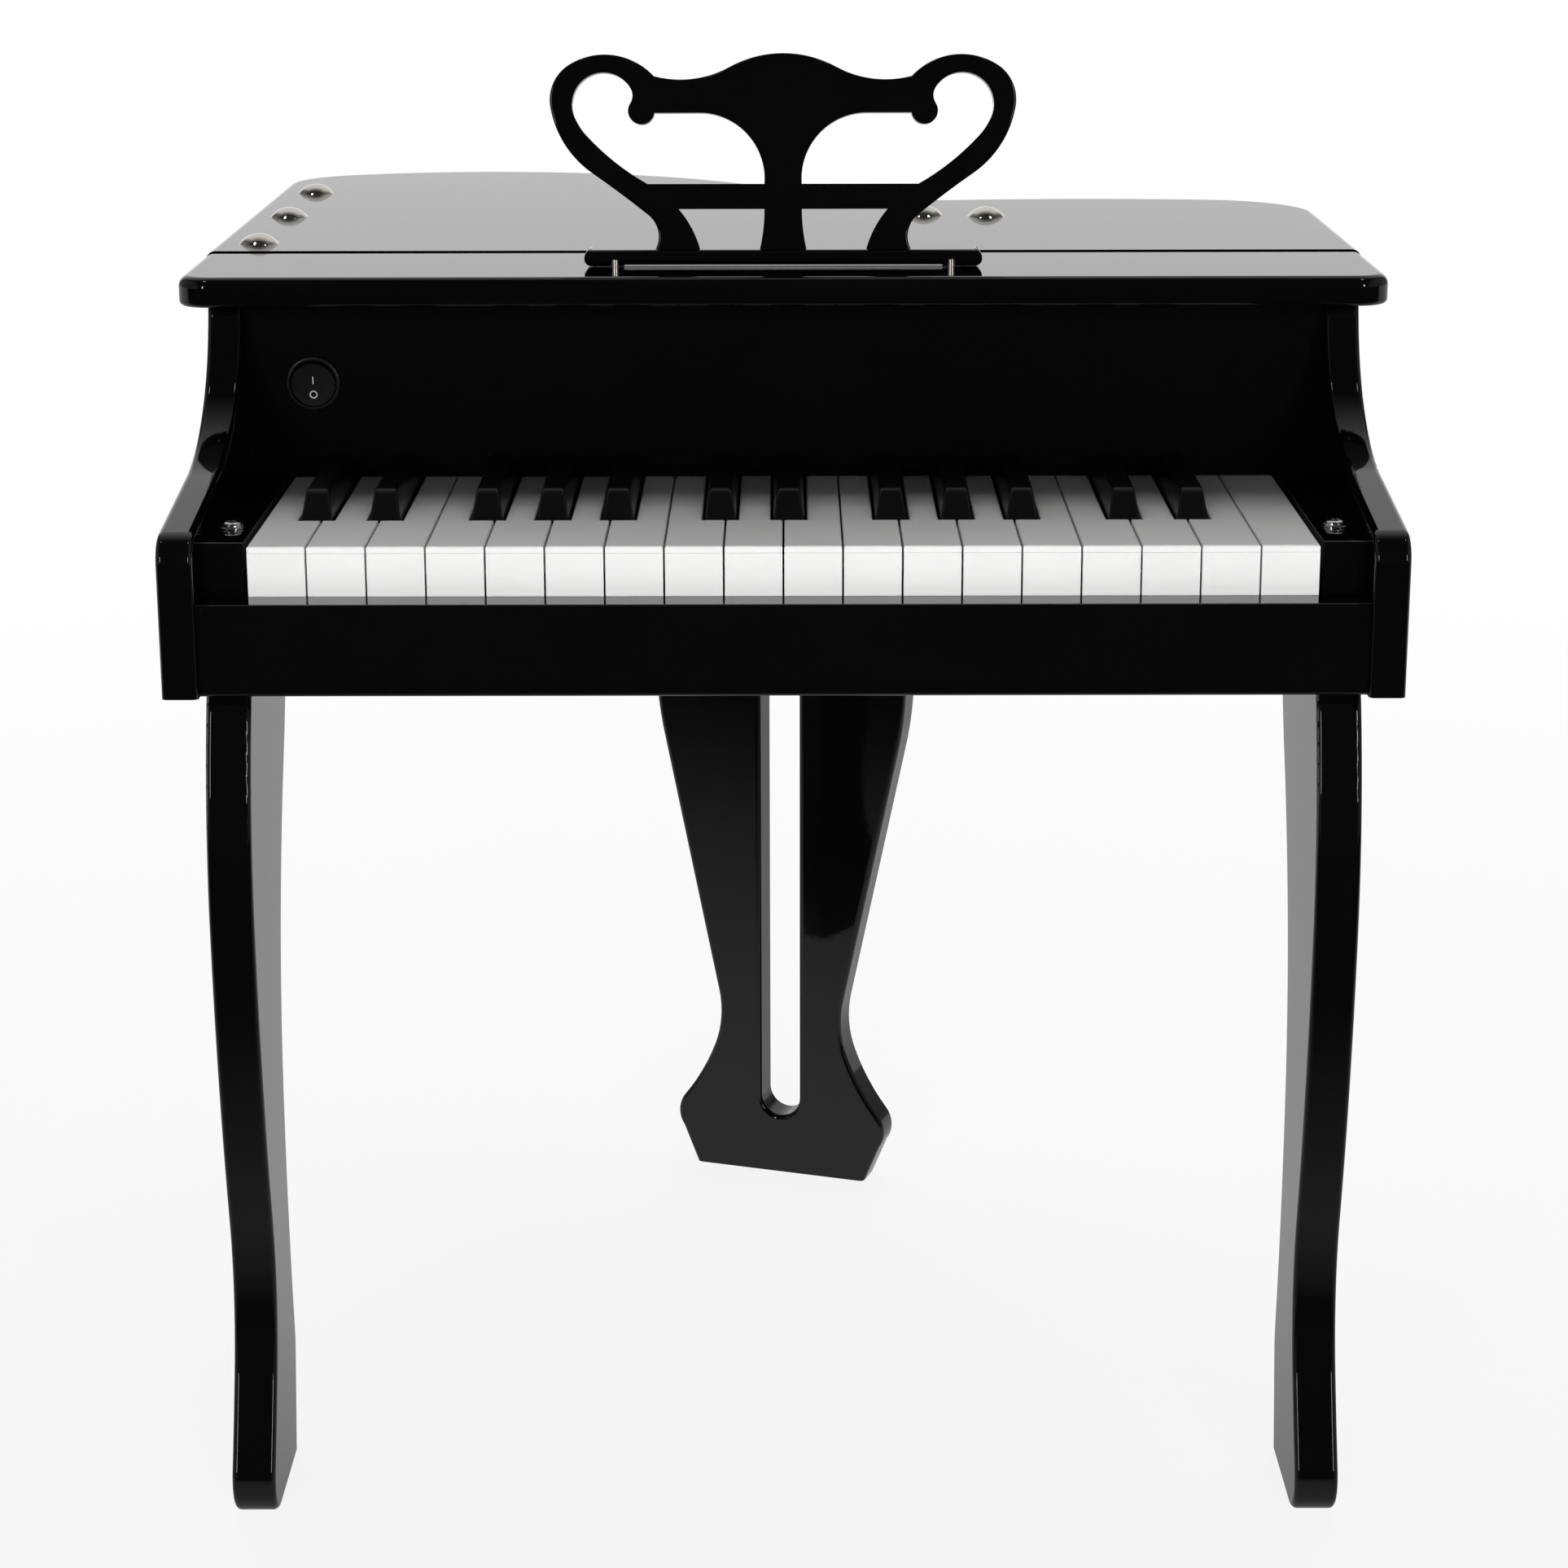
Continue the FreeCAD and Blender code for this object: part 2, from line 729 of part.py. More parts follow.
def main_lid(wire):
    """The hinged lid behind the seam, bored for its five domed bolts."""
    slab = plan_slab("lid_slab", wire, None, LID_UNDER, MAIN_TOP)
    seam = "(seam_y + seam_gap)"
    wide = f"(3 * {LID_HALF})"
    ahead = block("lid_ahead", (f"-{wide} / 2", f"{seam} - {wide}", LID_UNDER),
                  (wide, wide, "lid_wall + lid_step"))
    blank = carved("lid_blank", slab, ahead)
    soft = rounded("lid_soft", blank, (
        ("lid_round", lambda edge: level(edge, "z", MAIN_TOP) and not level(edge, "y", seam)),
        ("lid_under_round", lambda edge: level(edge, "z", LID_UNDER) and not level(edge, "y", seam))))
    holes = [rod(f"lid_bore_{i}", (x, y, LID_UNDER), "dome_shank / 2 + bolt_play", "lid_wall + lid_step")
             for i, (x, y) in enumerate(bolt_places())]
    stand_on_floor(carved("main_lid", soft, joined("lid_bores", holes)), "main_lid")


def bolt_places():
    """The five places where a domed bolt comes through the lid: three on the hinge, two on the prop."""
    places = [(f"-{LID_HALF} + hinge_bolt_in", f"hinge_bolt_y + {i} * hinge_bolt_pitch") for i in range(3)]
    for side in (-1, 1):
        places.append((f"prop_x + {side} * prop_bolt_pitch / 2 * cos(prop_turn * 1deg)",
                       f"prop_y + {side} * prop_bolt_pitch / 2 * sin(prop_turn * 1deg)"))
    return places


def lid_bolts():
    """Domed bolts, each a shallow cap on a plain shank that ends flush under its plate."""
    pieces = []
    cap = "((dome_width ^ 2 / 4 + dome_rise ^ 2) / (2 * dome_rise))"
    for i, (x, y) in enumerate(bolt_places()):
        ball = doc.addObject("Part::Sphere", f"dome_ball_{i}")
        bind(ball, Radius=cap)
        bind_base(ball, x, y, f"{MAIN_TOP} + dome_rise - {cap}")
        above = block(f"dome_above_{i}", (f"{x} - dome_width", f"{y} - dome_width", MAIN_TOP),
                      ("2 * dome_width", "2 * dome_width", "2 * dome_rise"))
        plate = "lid_leaf" if i < 3 else "prop_plate_wall"
        shank = rod(f"dome_shank_{i}", (x, y, f"{LID_UNDER} - {plate}"), "dome_shank / 2",
                    f"{MAIN_TOP} - {LID_UNDER} + {plate} + dome_rise / 2")
        pieces.append(joined(f"dome_bolt_{i}", [shared(f"dome_cap_{i}", ball, above), shank]))
    stand_on_floor(joined("lid_bolts", pieces), "lid_bolts")


def lid_front_strip():
    """The fixed front strip of the lid, which carries the music stand."""
    body = new_body("lid_front_strip")
    half = LID_HALF
    sketch = new_sketch(body, "XY_Plane", "case_rise")
    trace(sketch, (f"-{half}", "seam_y"), [
        ("line", f"-{half}", "lid_front + lid_corner"),
        ("tangent", f"-{half} + lid_corner", "lid_front"),
        ("line", f"{half} - lid_corner", "lid_front"),
        ("tangent", f"{half}", "lid_front + lid_corner"),
        ("line", f"{half}", "seam_y"),
        ("line", f"-{half}", "seam_y")])
    pad(body, sketch, "lid_wall")
    round_edges(body, "lid_round", lambda edge: level(edge, "z", LID_TOP) and not level(edge, "y", "seam_y"))
    round_edges(body, "lid_under_round",
                lambda edge: level(edge, "z", "case_rise") and not level(edge, "y", "seam_y"))
    holes = new_sketch(body, "XY_Plane", LID_TOP)
    for side in (-1, 1):
        ring(holes, f"{side} * stand_pin_x", "stand_front", "stand_pin / 2 + pin_play")
    pocket(body, holes, "stand_pin_deep + pin_play")


def bent_rim(wire):
    """The curved wall from the end of the straight side round the tail to the right side."""
    tall = ("-case_drop", "case_rise")
    outer = plan_slab("rim_outer", wire, "lid_overhang", *tall)
    inner = plan_slab("rim_inner", wire, "lid_overhang + rim_wall", *tall)
    shell = carved("rim_shell", outer, inner)
    deep = f"(2 * {LID_HALF})"
    split = f"({LID_HALF} / 2)"
    left = block("rim_left_end", (f"-{LID_HALF}", f"rim_left_y - {deep}", "-case_drop"),
                 (split, deep, "case_drop + case_rise"))
    right = block("rim_right_end", (f"{LID_HALF} - {split}", f"rim_right_y - {deep}", "-case_drop"),
                  (split, deep, "case_drop + case_rise"))
    front = block("rim_front", (f"-{LID_HALF}", f"seam_y - {deep}", "-case_drop"),
                  (deep, deep, "case_drop + case_rise"))
    stand_on_floor(carved("bent_rim", shell, joined("rim_ends", [left, right, front])), "bent_rim")


def leg_bolt_places():
    """The two bolts of each front leg, then the two of the rear leg."""
    places = []
    for side in (-1, 1):
        for i in range(2):
            places.append((f"{side} * ({CHEEK_IN} - leg_wall / 2)", f"leg_bolt_y + {i} * leg_bolt_pitch"))
    for side in (-1, 1):
        places.append((f"{side} * rear_bolt_pitch / 2 * cos(rear_leg_turn * 1deg)",
                       f"rear_leg_y + {side} * rear_bolt_pitch / 2 * sin(rear_leg_turn * 1deg)"))
    return places


def sound_hole_places():
    """A hole under the speaker's middle and rings of six, twelve and so on round it."""
    for reach in range(SOUND_RINGS):
        count = max(1, 6 * reach)
        for i in range(count):
            angle = f"{360 * i / count} * 1deg"
            yield (f"speaker_x + {reach} * sound_ring * cos({angle})",
                   f"speaker_y + {reach} * sound_ring * sin({angle})")


def bottom_board(wire):
    """The floor of the case, bored for the leg bolts and the speaker, with an opening for the battery box."""
    slab = plan_slab("floor_slab", wire, "lid_overhang + rim_wall + rim_fit", FLOOR_LOW, FLOOR_TOP)
    deep = f"(3 * {LID_HALF})"
    within = block("floor_within", (f"-{CHEEK_IN}", "-slip_back", FLOOR_LOW),
                   (f"2 * {CHEEK_IN}", deep, "floor_wall"))
    tools = []
    for i, (x, y) in enumerate(leg_bolt_places()):
        tools.append(rod(f"floor_bore_{i}", (x, y, FLOOR_LOW), "leg_bolt / 2 + bolt_play", "floor_wall"))
        tools.append(rod(f"floor_sink_{i}", (x, y, f"{FLOOR_TOP} - leg_bolt_head_rise - bolt_play"),
                         "leg_bolt_head / 2 + bolt_play", "floor_wall"))
    for i, (x, y) in enumerate(sound_hole_places()):
        tools.append(rod(f"sound_bore_{i}", (x, y, FLOOR_LOW), "sound_hole / 2", "floor_wall"))
    tools.append(block("battery_opening",
                       ("battery_x - battery_run / 2", f"{BATTERY_Y} - battery_depth / 2", FLOOR_LOW),
                       ("battery_run", "battery_depth", "floor_wall")))
    blank = shared("floor_blank", slab, within)
    stand_on_floor(carved("bottom_board", blank, joined("floor_tools", tools)), "bottom_board")


def leg_bolts():
    """Bolts whose heads lie sunk in the floor and whose shanks run down into the legs."""
    pieces = []
    for i, (x, y) in enumerate(leg_bolt_places()):
        head_low = f"({FLOOR_TOP} - leg_bolt_head_rise)"
        head = rod(f"leg_bolt_head_{i}", (x, y, head_low), "leg_bolt_head / 2", "leg_bolt_head_rise")
        shank = rod(f"leg_bolt_shank_{i}", (x, y, f"{head_low} - leg_bolt_run"),
                    "leg_bolt / 2", "leg_bolt_run")
        pieces.append(joined(f"leg_bolt_{i}", [head, shank]))
    stand_on_floor(joined("leg_bolts", pieces), "leg_bolts")


def bolt_bores(body, places):
    """Bore the top of a leg for its bolts."""
    sketch = new_sketch(body, "XY_Plane", FLOOR_LOW)
    for x, y in places:
        ring(sketch, x, y, "leg_bolt / 2 + bolt_play")
    pocket(body, sketch, "leg_bolt_run")


def front_leg(label, side):
    """A front leg cut from a board to an S: knee forward, narrow ankle, toe forward."""
    body = new_body(label)
    sketch = new_sketch(body, "YZ_Plane", f"{CHEEK_IN} - leg_wall" if side > 0 else f"-{CHEEK_IN}")
    trace(sketch, ("leg_back", FLOOR_LOW), [
        ("line", "leg_front", FLOOR_LOW),
        ("via", "-knee_reach", "-knee_drop",
         "leg_front - 0.68 * (knee_reach + leg_front)", f"{FLOOR_LOW} - 0.42 * (knee_drop + {FLOOR_LOW})"),
        ("tangent", "-shin_reach", f"{SOLE} + shin_rise"),
        ("tangent", "-ankle_reach", f"{SOLE} + ankle_rise"),
        ("tangent", "-toe_reach", f"{SOLE} + toe_rise"),
        ("tangent", "sole_front", SOLE),
        ("line", "sole_back", SOLE),
        ("line", "heel_back", f"{SOLE} + heel_rise"),
        ("tangent", "spur_back", f"{SOLE} + spur_rise"),
        ("tangent", "calf_back", f"{SOLE} + calf_rise"),
        ("tangent", "thigh_back", f"{FLOOR_LOW} - thigh_drop"),
        ("tangent", "leg_back", FLOOR_LOW)])
    pad(body, sketch, "leg_wall")
    round_edges(body, "leg_round",
                lambda edge: edge.BoundBox.XLength < 1e-4 and not level(edge, "z", FLOOR_LOW)
                and not level(edge, "z", SOLE))
    first = 0 if side < 0 else 2
    bolt_bores(body, leg_bolt_places()[first:first + 2])


def rear_leg():
    """The rear leg: a slotted board with a waist and a flared foot, turned about its own middle."""
    body = doc.addObject("PartDesign::Body", "rear_leg")
    sketch = new_sketch(body, "XZ_Plane")
    trace(sketch, ("rear_slot_half", FLOOR_LOW), [
        ("line", "rear_leg_half", FLOOR_LOW),
        ("line", "rear_leg_half", f"{SOLE} + rear_top_rise"),
        ("tangent", "rear_leg_half - rear_side_in", f"{SOLE} + rear_side_rise"),
        ("line", "rear_leg_half - rear_neck_in", f"{SOLE} + rear_neck_rise"),
        ("tangent", "rear_leg_half - rear_flare_in", f"{SOLE} + rear_flare_rise"),
        ("tangent", "rear_leg_half - rear_bulge_in", f"{SOLE} + rear_bulge_rise"),
        ("tangent", "rear_leg_half - rear_heel_in", f"{SOLE} + rear_heel_rise"),
        ("line", "rear_leg_half - rear_sole_in", SOLE),
        ("line", "0", SOLE),
        ("line", "0", f"{SOLE} + rear_slot_rise - rear_slot_half"),
        ("via", "rear_slot_half", f"{SOLE} + rear_slot_rise",
         "rear_slot_half * sin(45deg)", f"{SOLE} + rear_slot_rise - rear_slot_half * cos(45deg)"),
        ("line", "rear_slot_half", FLOOR_LOW)])
    half = pad(body, sketch, "leg_wall", both=True)
    mirror = body.newObject("PartDesign::Mirrored", "rear_leg_mirror")
    mirror.Originals = [half]
    plane = next(feature for feature in body.Origin.OriginFeatures if feature.Role == "YZ_Plane")
    mirror.MirrorPlane = (plane, [""])
    body.Tip = mirror
    round_edges(body, "leg_round",
                lambda edge: edge.BoundBox.YLength < 1e-4 and not level(edge, "z", FLOOR_LOW)
                and not level(edge, "z", SOLE))
    bores = new_sketch(body, "XY_Plane", FLOOR_LOW)
    for side in (-1, 1):
        ring(bores, f"{side} * rear_bolt_pitch / 2", "0", "leg_bolt / 2 + bolt_play")
    pocket(body, bores, "leg_bolt_run")
    body.Label = "rear_leg"
    body.Placement.Rotation = FreeCAD.Rotation(FreeCAD.Vector(0, 0, 1), number("rear_leg_turn"))
    bind_base(body, "0", "keys_front + rear_leg_y", "key_top")
    body.setExpression("Placement.Rotation.Angle", bound("rear_leg_turn * 1deg"))
    subparts.append(body)


def key_slip():
    """The rail in front of the keys."""
    body = new_body("key_slip")
    sketch = new_sketch(body, "YZ_Plane")
    oblong(sketch, "-slip_front", "-case_drop", "-slip_back", "-slip_drop")
    pad(body, sketch, f"2 * {CHEEK_IN}", both=True)
    round_edges(body, "slip_round",
                lambda edge: level(edge, "y", "-slip_front") and edge.BoundBox.XLength > 1)


def key_blocks():
    """The two blocks that fill the ends of the key bed, each bored for its screw."""
    low = FLOOR_TOP
    tall = f"(block_rise - {low})"
    pieces = []
    for i, side in enumerate((-1, 1)):
        body = doc.addObject("PartDesign::Body", f"key_block_{i}")
        edges = (BLOCK_IN, CHEEK_IN) if side > 0 else (f"-{CHEEK_IN}", f"-{BLOCK_IN}")
        sketch = new_sketch(body, "XY_Plane", low)
        oblong(sketch, edges[0], "0", edges[1], "white_reach - key_end_gap")
        pad(body, sketch, tall)
        round_edges(body, "block_round",
                    lambda edge: level(edge, "z", "block_rise") and level(edge, "y", "0"))
        bore = new_sketch(body, "XY_Plane", "block_rise")
        ring(bore, f"{side} * ({BLOCK_IN} + block_width / 2)", "block_screw_y", "screw_shank / 2 + bolt_play")
        pocket(body, bore, "screw_run + bolt_play")
        pieces.append(body)
    stand_on_floor(joined("key_blocks", pieces), "key_blocks")


def key_block_screws():
    """A pan-head screw in each key block."""
    pieces = []
    for i, side in enumerate((-1, 1)):
        x = f"({side} * ({BLOCK_IN} + block_width / 2))"
        head = rod(f"screw_head_{i}", (x, "block_screw_y", "block_rise"), "screw_head / 2", "screw_head_rise")
        soft = rounded(f"screw_dome_{i}", head, (
            ("0.7 * screw_head_rise", lambda edge: level(edge, "z", "block_rise + screw_head_rise")),))
        shank = rod(f"screw_shank_{i}", (x, "block_screw_y", "block_rise - screw_run"), "screw_shank / 2",
                    "screw_run")
        pieces.append(joined(f"screw_{i}", [soft, shank]))
    stand_on_floor(joined("key_block_screws", pieces), "key_block_screws")


def fallboard():
    """The upright board behind the keys, bored for the round switch."""
    low = "fallboard_gap"
    board = block("fallboard_blank", (f"-{CHEEK_IN}", "white_reach", low),
                  (f"2 * {CHEEK_IN}", "fallboard_wall", f"case_rise - {low}"))
    hole = rod("switch_bore", ("switch_x", "white_reach", "switch_z"),
               "switch_body / 2 + switch_play", "fallboard_wall", FreeCAD.Vector(0, 1, 0))
    stand_on_floor(carved("fallboard", board, hole), "fallboard")


def power_switch():
    """The round switch body: a bezel on the fallboard's face and a barrel through it, open at the front."""
    front = "(white_reach - switch_bezel_rise)"
    ahead = FreeCAD.Vector(0, 1, 0)
    bezel = rod("switch_rim", ("switch_x", front, "switch_z"), "switch_bezel / 2", "switch_bezel_rise", ahead)
    soft = rounded("switch_rim_soft", bezel, (
        ("0.6 * switch_bezel_rise", lambda edge: level(edge, "y", front)),))
    barrel = rod("switch_barrel", ("switch_x", "white_reach", "switch_z"),
                 "switch_body / 2", "switch_body_run", ahead)
    mouth = rod("switch_mouth", ("switch_x", front, "switch_z"), "rocker_width / 2 + rocker_gap",
                "switch_bezel_rise + 2 * rocker_wall", ahead)
    solid = joined("switch_solid", [soft, barrel])
    stand_on_floor(carved("power_switch", solid, mouth), "power_switch")


def switch_rocker():
    """The rocker that tips inside the switch, shown tipped to off, with its pivot pin."""
    body = doc.addObject("PartDesign::Body", "switch_rocker")
    body.Label = "switch_rocker"
    disc = new_sketch(body, "XZ_Plane", "rocker_axis")
    ring(disc, "0", "0", "rocker_width / 2")
    pad(body, disc, "rocker_wall", back=True)
    dish = new_sketch(body, "YZ_Plane")
    trace(dish, ("-rocker_axis", "-rocker_width / 2"), [
        ("via", "-rocker_axis", "rocker_width / 2", "rocker_dish - rocker_axis", "0"),
        ("line", "-rocker_axis", "-rocker_width / 2")])
    pocket(body, dish, "2 * rocker_width", both=True)
    axle = new_sketch(body, "YZ_Plane")
    ring(axle, "0", "0", "rocker_pin / 2")
    pad(body, axle, "rocker_width + rocker_gap", both=True)
    body.Placement.Rotation = FreeCAD.Rotation(FreeCAD.Vector(1, 0, 0), number("rocker_tilt"))
    body.setExpression("Placement.Rotation.Angle", bound("rocker_tilt * 1deg"))
    bind_base(body, "switch_x", "keys_front + white_reach - switch_bezel_rise + rocker_axis - rocker_proud",
              "key_top + switch_z")
    subparts.append(body)


def hinge_leaf(label, level_low, wall, first, pinned):
    """One leaf of the long hinge: a strip over the side wall and every other knuckle of the row."""
    pitch = f"(hinge_run / {KNUCKLES})"
    plate = block(f"{label}_plate", (f"-{CHEEK_OUT}", "hinge_start_y", level_low),
                  ("cheek_wall", "hinge_run", wall))
    pieces = [plate]
    for i in range(first, KNUCKLES, 2):
        start = f"(hinge_start_y + {i} * {pitch} + knuckle_gap / 2)"
        run = f"({pitch} - knuckle_gap)"
        pieces.append(block(f"{label}_web_{i}", (AXIS_X, start, level_low), ("hinge_reach", run, wall)))
        pieces.append(rod(f"{label}_knuckle_{i}", (AXIS_X, start, AXIS_Z), "knuckle / 2", run,
                          FreeCAD.Vector(0, 1, 0)))
    if pinned:
        pieces.append(rod(f"{label}_pin", (AXIS_X, "hinge_start_y", AXIS_Z), "hinge_pin / 2", "hinge_run",
                          FreeCAD.Vector(0, 1, 0)))
        return stand_on_floor(joined(label, pieces), label)
    tools = [rod(f"{label}_bore", (AXIS_X, "hinge_start_y", AXIS_Z),
                 "hinge_pin / 2 + hinge_play", "hinge_run", FreeCAD.Vector(0, 1, 0))]
    for i, (x, y) in enumerate(bolt_places()[:3]):
        tools.append(rod(f"{label}_hole_{i}", (x, y, level_low), "dome_shank / 2 + bolt_play", wall))
    leaf = carved(label, joined(f"{label}_blank", pieces), joined(f"{label}_tools", tools))
    return stand_on_floor(leaf, label)


def prop_placed(piece, label):
    """Place a prop piece under the lid, turned with the pair of bolts that holds its bracket."""
    piece.Label = label
    piece.Placement.Rotation = FreeCAD.Rotation(FreeCAD.Vector(0, 0, 1), number("prop_turn"))
    piece.setExpression("Placement.Rotation.Angle", bound("prop_turn * 1deg"))
    bind_base(piece, "prop_x", "keys_front + prop_y", f"key_top + {LID_UNDER}")
    subparts.append(piece)


def prop_bracket():
    """A fork on a plate under the lid, with the pin that the stick swings on."""
    ear_gap = "(prop_stick_wall / 2 + prop_play)"
    plate = block("prop_plate", ("-prop_plate_run / 2", f"-{ear_gap} - prop_ear_wall", "-prop_plate_wall"),
                  ("prop_plate_run", f"2 * ({ear_gap} + prop_ear_wall)", "prop_plate_wall"))
    pieces = [plate]
    for i, side in enumerate((-1, 1)):
        low = f"{ear_gap}" if side > 0 else f"-{ear_gap} - prop_ear_wall"
        pieces.append(block(f"prop_ear_{i}", ("-prop_ear_width / 2", low, "-prop_pin_drop"),
                            ("prop_ear_width", "prop_ear_wall", "prop_pin_drop")))
        pieces.append(rod(f"prop_ear_end_{i}", ("0", low, "-prop_pin_drop"),
                          "prop_ear_width / 2", "prop_ear_wall", FreeCAD.Vector(0, 1, 0)))
    pieces.append(rod("prop_pin", ("0", f"-{ear_gap} - prop_ear_wall", "-prop_pin_drop"), "prop_pin / 2",
                      f"2 * ({ear_gap} + prop_ear_wall)", FreeCAD.Vector(0, 1, 0)))
    holes = [rod(f"prop_hole_{i}", (f"{side} * prop_bolt_pitch / 2", "0", "-prop_plate_wall"),
                 "dome_shank / 2 + bolt_play", "prop_plate_wall") for i, side in enumerate((-1, 1))]
    bracket = carved("prop_bracket", joined("prop_fork", pieces), joined("prop_holes", holes))
    prop_placed(bracket, "prop_bracket")


def prop_stick():
    """The prop stick, folded flat under the lid towards the hinge."""
    body = doc.addObject("PartDesign::Body", "prop_stick")
    sketch = new_sketch(body, "XZ_Plane")
    half = "(prop_stick_width / 2)"
    trace(sketch, ("0", f"-prop_pin_drop - {half}"), [
        ("via", "0", f"-prop_pin_drop + {half}", half, "-prop_pin_drop"),
        ("line", f"{half} - prop_stick_run", f"-prop_pin_drop + {half}"),
        ("via", f"{half} - prop_stick_run", f"-prop_pin_drop - {half}", "-prop_stick_run", "-prop_pin_drop"),
        ("line", "0", f"-prop_pin_drop - {half}")])
    pad(body, sketch, "prop_stick_wall", both=True)
    bore = new_sketch(body, "XZ_Plane")
    ring(bore, "0", "-prop_pin_drop", "prop_pin / 2 + pivot_play")
    pocket(body, bore, "2 * prop_stick_wall", both=True)
    prop_placed(body, "prop_stick")


def music_stand():
    """The lyre-shaped music stand: a pierced board that leans back on a round-edged ledge."""
    board = doc.addObject("PartDesign::Body", "stand_board")
    face = new_sketch(board, "XZ_Plane")
    foot = "(-ledge_wall / 2)"
    trace(face, ("0", "stand_top"), [
        ("tangent", "crown_x", "crown_z"),
        ("tangent", "joint_x", "joint_z"),
        ("via", "scroll_top_x", "scroll_top_z", "brow_x", "brow_z"),
        ("tangent", "scroll_side_x", "scroll_side_z"),
        ("tangent", "scroll_low_x", "scroll_low_z"),
        ("tangent", "ankle_x", "ankle_z"),
        ("tangent", "foot_out_x", "0"),
        ("line", "foot_out_x", foot),
        ("line", "0", foot),
        ("line", "0", "stand_top")])
    half = pad(board, face, "stand_wall", back=True)
    eye = new_sketch(board, "XZ_Plane")
    bar_low = "(bar_top_z - bar_wall)"
    trace(eye, ("eye_low_x", "bar_top_z"), [
        ("via", "eye_rise_x", "eye_rise_z", "eye_mid_x", "eye_mid_z"),
        ("tangent", "eye_side_x", "eye_side_z"),
        ("tangent", "eye_neck_x", "eye_neck_z"),
        ("tangent", "knob_x", "knob_z"),
        ("tangent", "knob_end_x", "arm_under_z"),
        ("line", "stem_half + arch_run", "arm_under_z"),
        ("tangent", "stem_half", "bar_top_z"),
        ("line", "eye_low_x", "bar_top_z")])
    cuts = [pocket(board, eye, "2 * stand_wall", both=True)]
    window = new_sketch(board, "XZ_Plane")
    trace(window, ("stem_half", bar_low), [
        ("via", "stem_foot", "0", "stem_mid", f"{bar_low} / 2"),
        ("line", "foot_in_low_x", "0"),
        ("via", "foot_in_top_x", bar_low, "foot_in_mid_x", f"{bar_low} / 2"),
        ("line", "stem_half", bar_low)])
    cuts.append(pocket(board, window, "2 * stand_wall", both=True))
    mirror = board.newObject("PartDesign::Mirrored", "stand_mirror")
    mirror.Originals = [half] + cuts
    plane = next(feature for feature in board.Origin.OriginFeatures if feature.Role == "YZ_Plane")
    mirror.MirrorPlane = (plane, [""])
    board.Tip = mirror
    doc.recompute()
    rim = [edge for face in board.Shape.Faces if face.BoundBox.YLength < 1e-4
           for edge in face.OuterWire.Edges]
    low = number(foot)
    lyre = rounded("stand_lyre", board, (
        ("stand_round", lambda edge: edge.BoundBox.ZMin > low + 1e-4
         and any(edge.isSame(other) for other in rim)),))
    lyre.Placement.Rotation = FreeCAD.Rotation(FreeCAD.Vector(1, 0, 0), -number("stand_lean"))
    lyre.setExpression("Placement.Rotation.Angle", bound("-stand_lean * 1deg"))
    bind_base(lyre, "0", "stand_front + stand_set_back", STAND_FOOT)
    stand_on_floor(joined("music_stand", [lyre, stand_ledge()]), "music_stand")


def stand_ledge():
    """The ledge that the stand's board is glued to: grooved for its two pins, hollowed between them."""
    ledge = doc.addObject("PartDesign::Body", "stand_ledge")
    section = new_sketch(ledge, "YZ_Plane")
    oblong(section, "stand_front", LEDGE_LOW, "stand_front + ledge_depth", STAND_FOOT)
    pad(ledge, section, "2 * ledge_half", both=True)
    round_edges(ledge, "ledge_round", lambda edge: edge.BoundBox.XLength > 1 or edge.BoundBox.ZLength < 1e-4)
    bores = new_sketch(ledge, "XY_Plane", LEDGE_LOW)
    for side in (-1, 1):
        ring(bores, f"{side} * stand_pin_x", "stand_front", "stand_pin / 2")
    pocket(ledge, bores, "stand_pin_high", back=True)
    hollow = new_sketch(ledge, "YZ_Plane")
    oblong(hollow, "stand_front - ledge_depth", f"{LEDGE_LOW} - ledge_wall",
           "stand_front + 2 * ledge_depth", f"{LEDGE_LOW} + ledge_relief")
    pocket(ledge, hollow, "2 * (stand_pin_x - ledge_pad)", both=True)
    return ledge


def stand_pins():
    """Two steel pins, let half into the front of the ledge and loose in the strip below it."""
    pieces = [rod(f"stand_pin_{i}", (f"{side} * stand_pin_x", "stand_front",
                                     f"{LID_TOP} - stand_pin_deep"),
                  "stand_pin / 2", "stand_pin_deep + ledge_lift + stand_pin_high")
              for i, side in enumerate((-1, 1))]
    stand_on_floor(joined("stand_pins", pieces), "stand_pins")


def key_pivot_rod():
    """The rod under the fallboard that every key swings on, held by the chassis's end posts."""
    run = f"({KEYS_HALF} + key_end_gap)"
    piece = rod("key_pivot_rod", (f"-{run}", "pivot_reach", "-pivot_drop"), "pivot_rod / 2", f"2 * {run}",
                FreeCAD.Vector(1, 0, 0))
    piece.Label = "key_pivot_rod"
    bind_base(piece, f"-{run}", "keys_front + pivot_reach", "key_top - pivot_drop")
    subparts.append(piece)


def rib_middle(index):
    """Return the X of the gap between a white key's tail and the black key after it."""
    return f"(({tail_side(index, 1)} + {sharp_middle(index)} - black_arm / 2) / 2)"


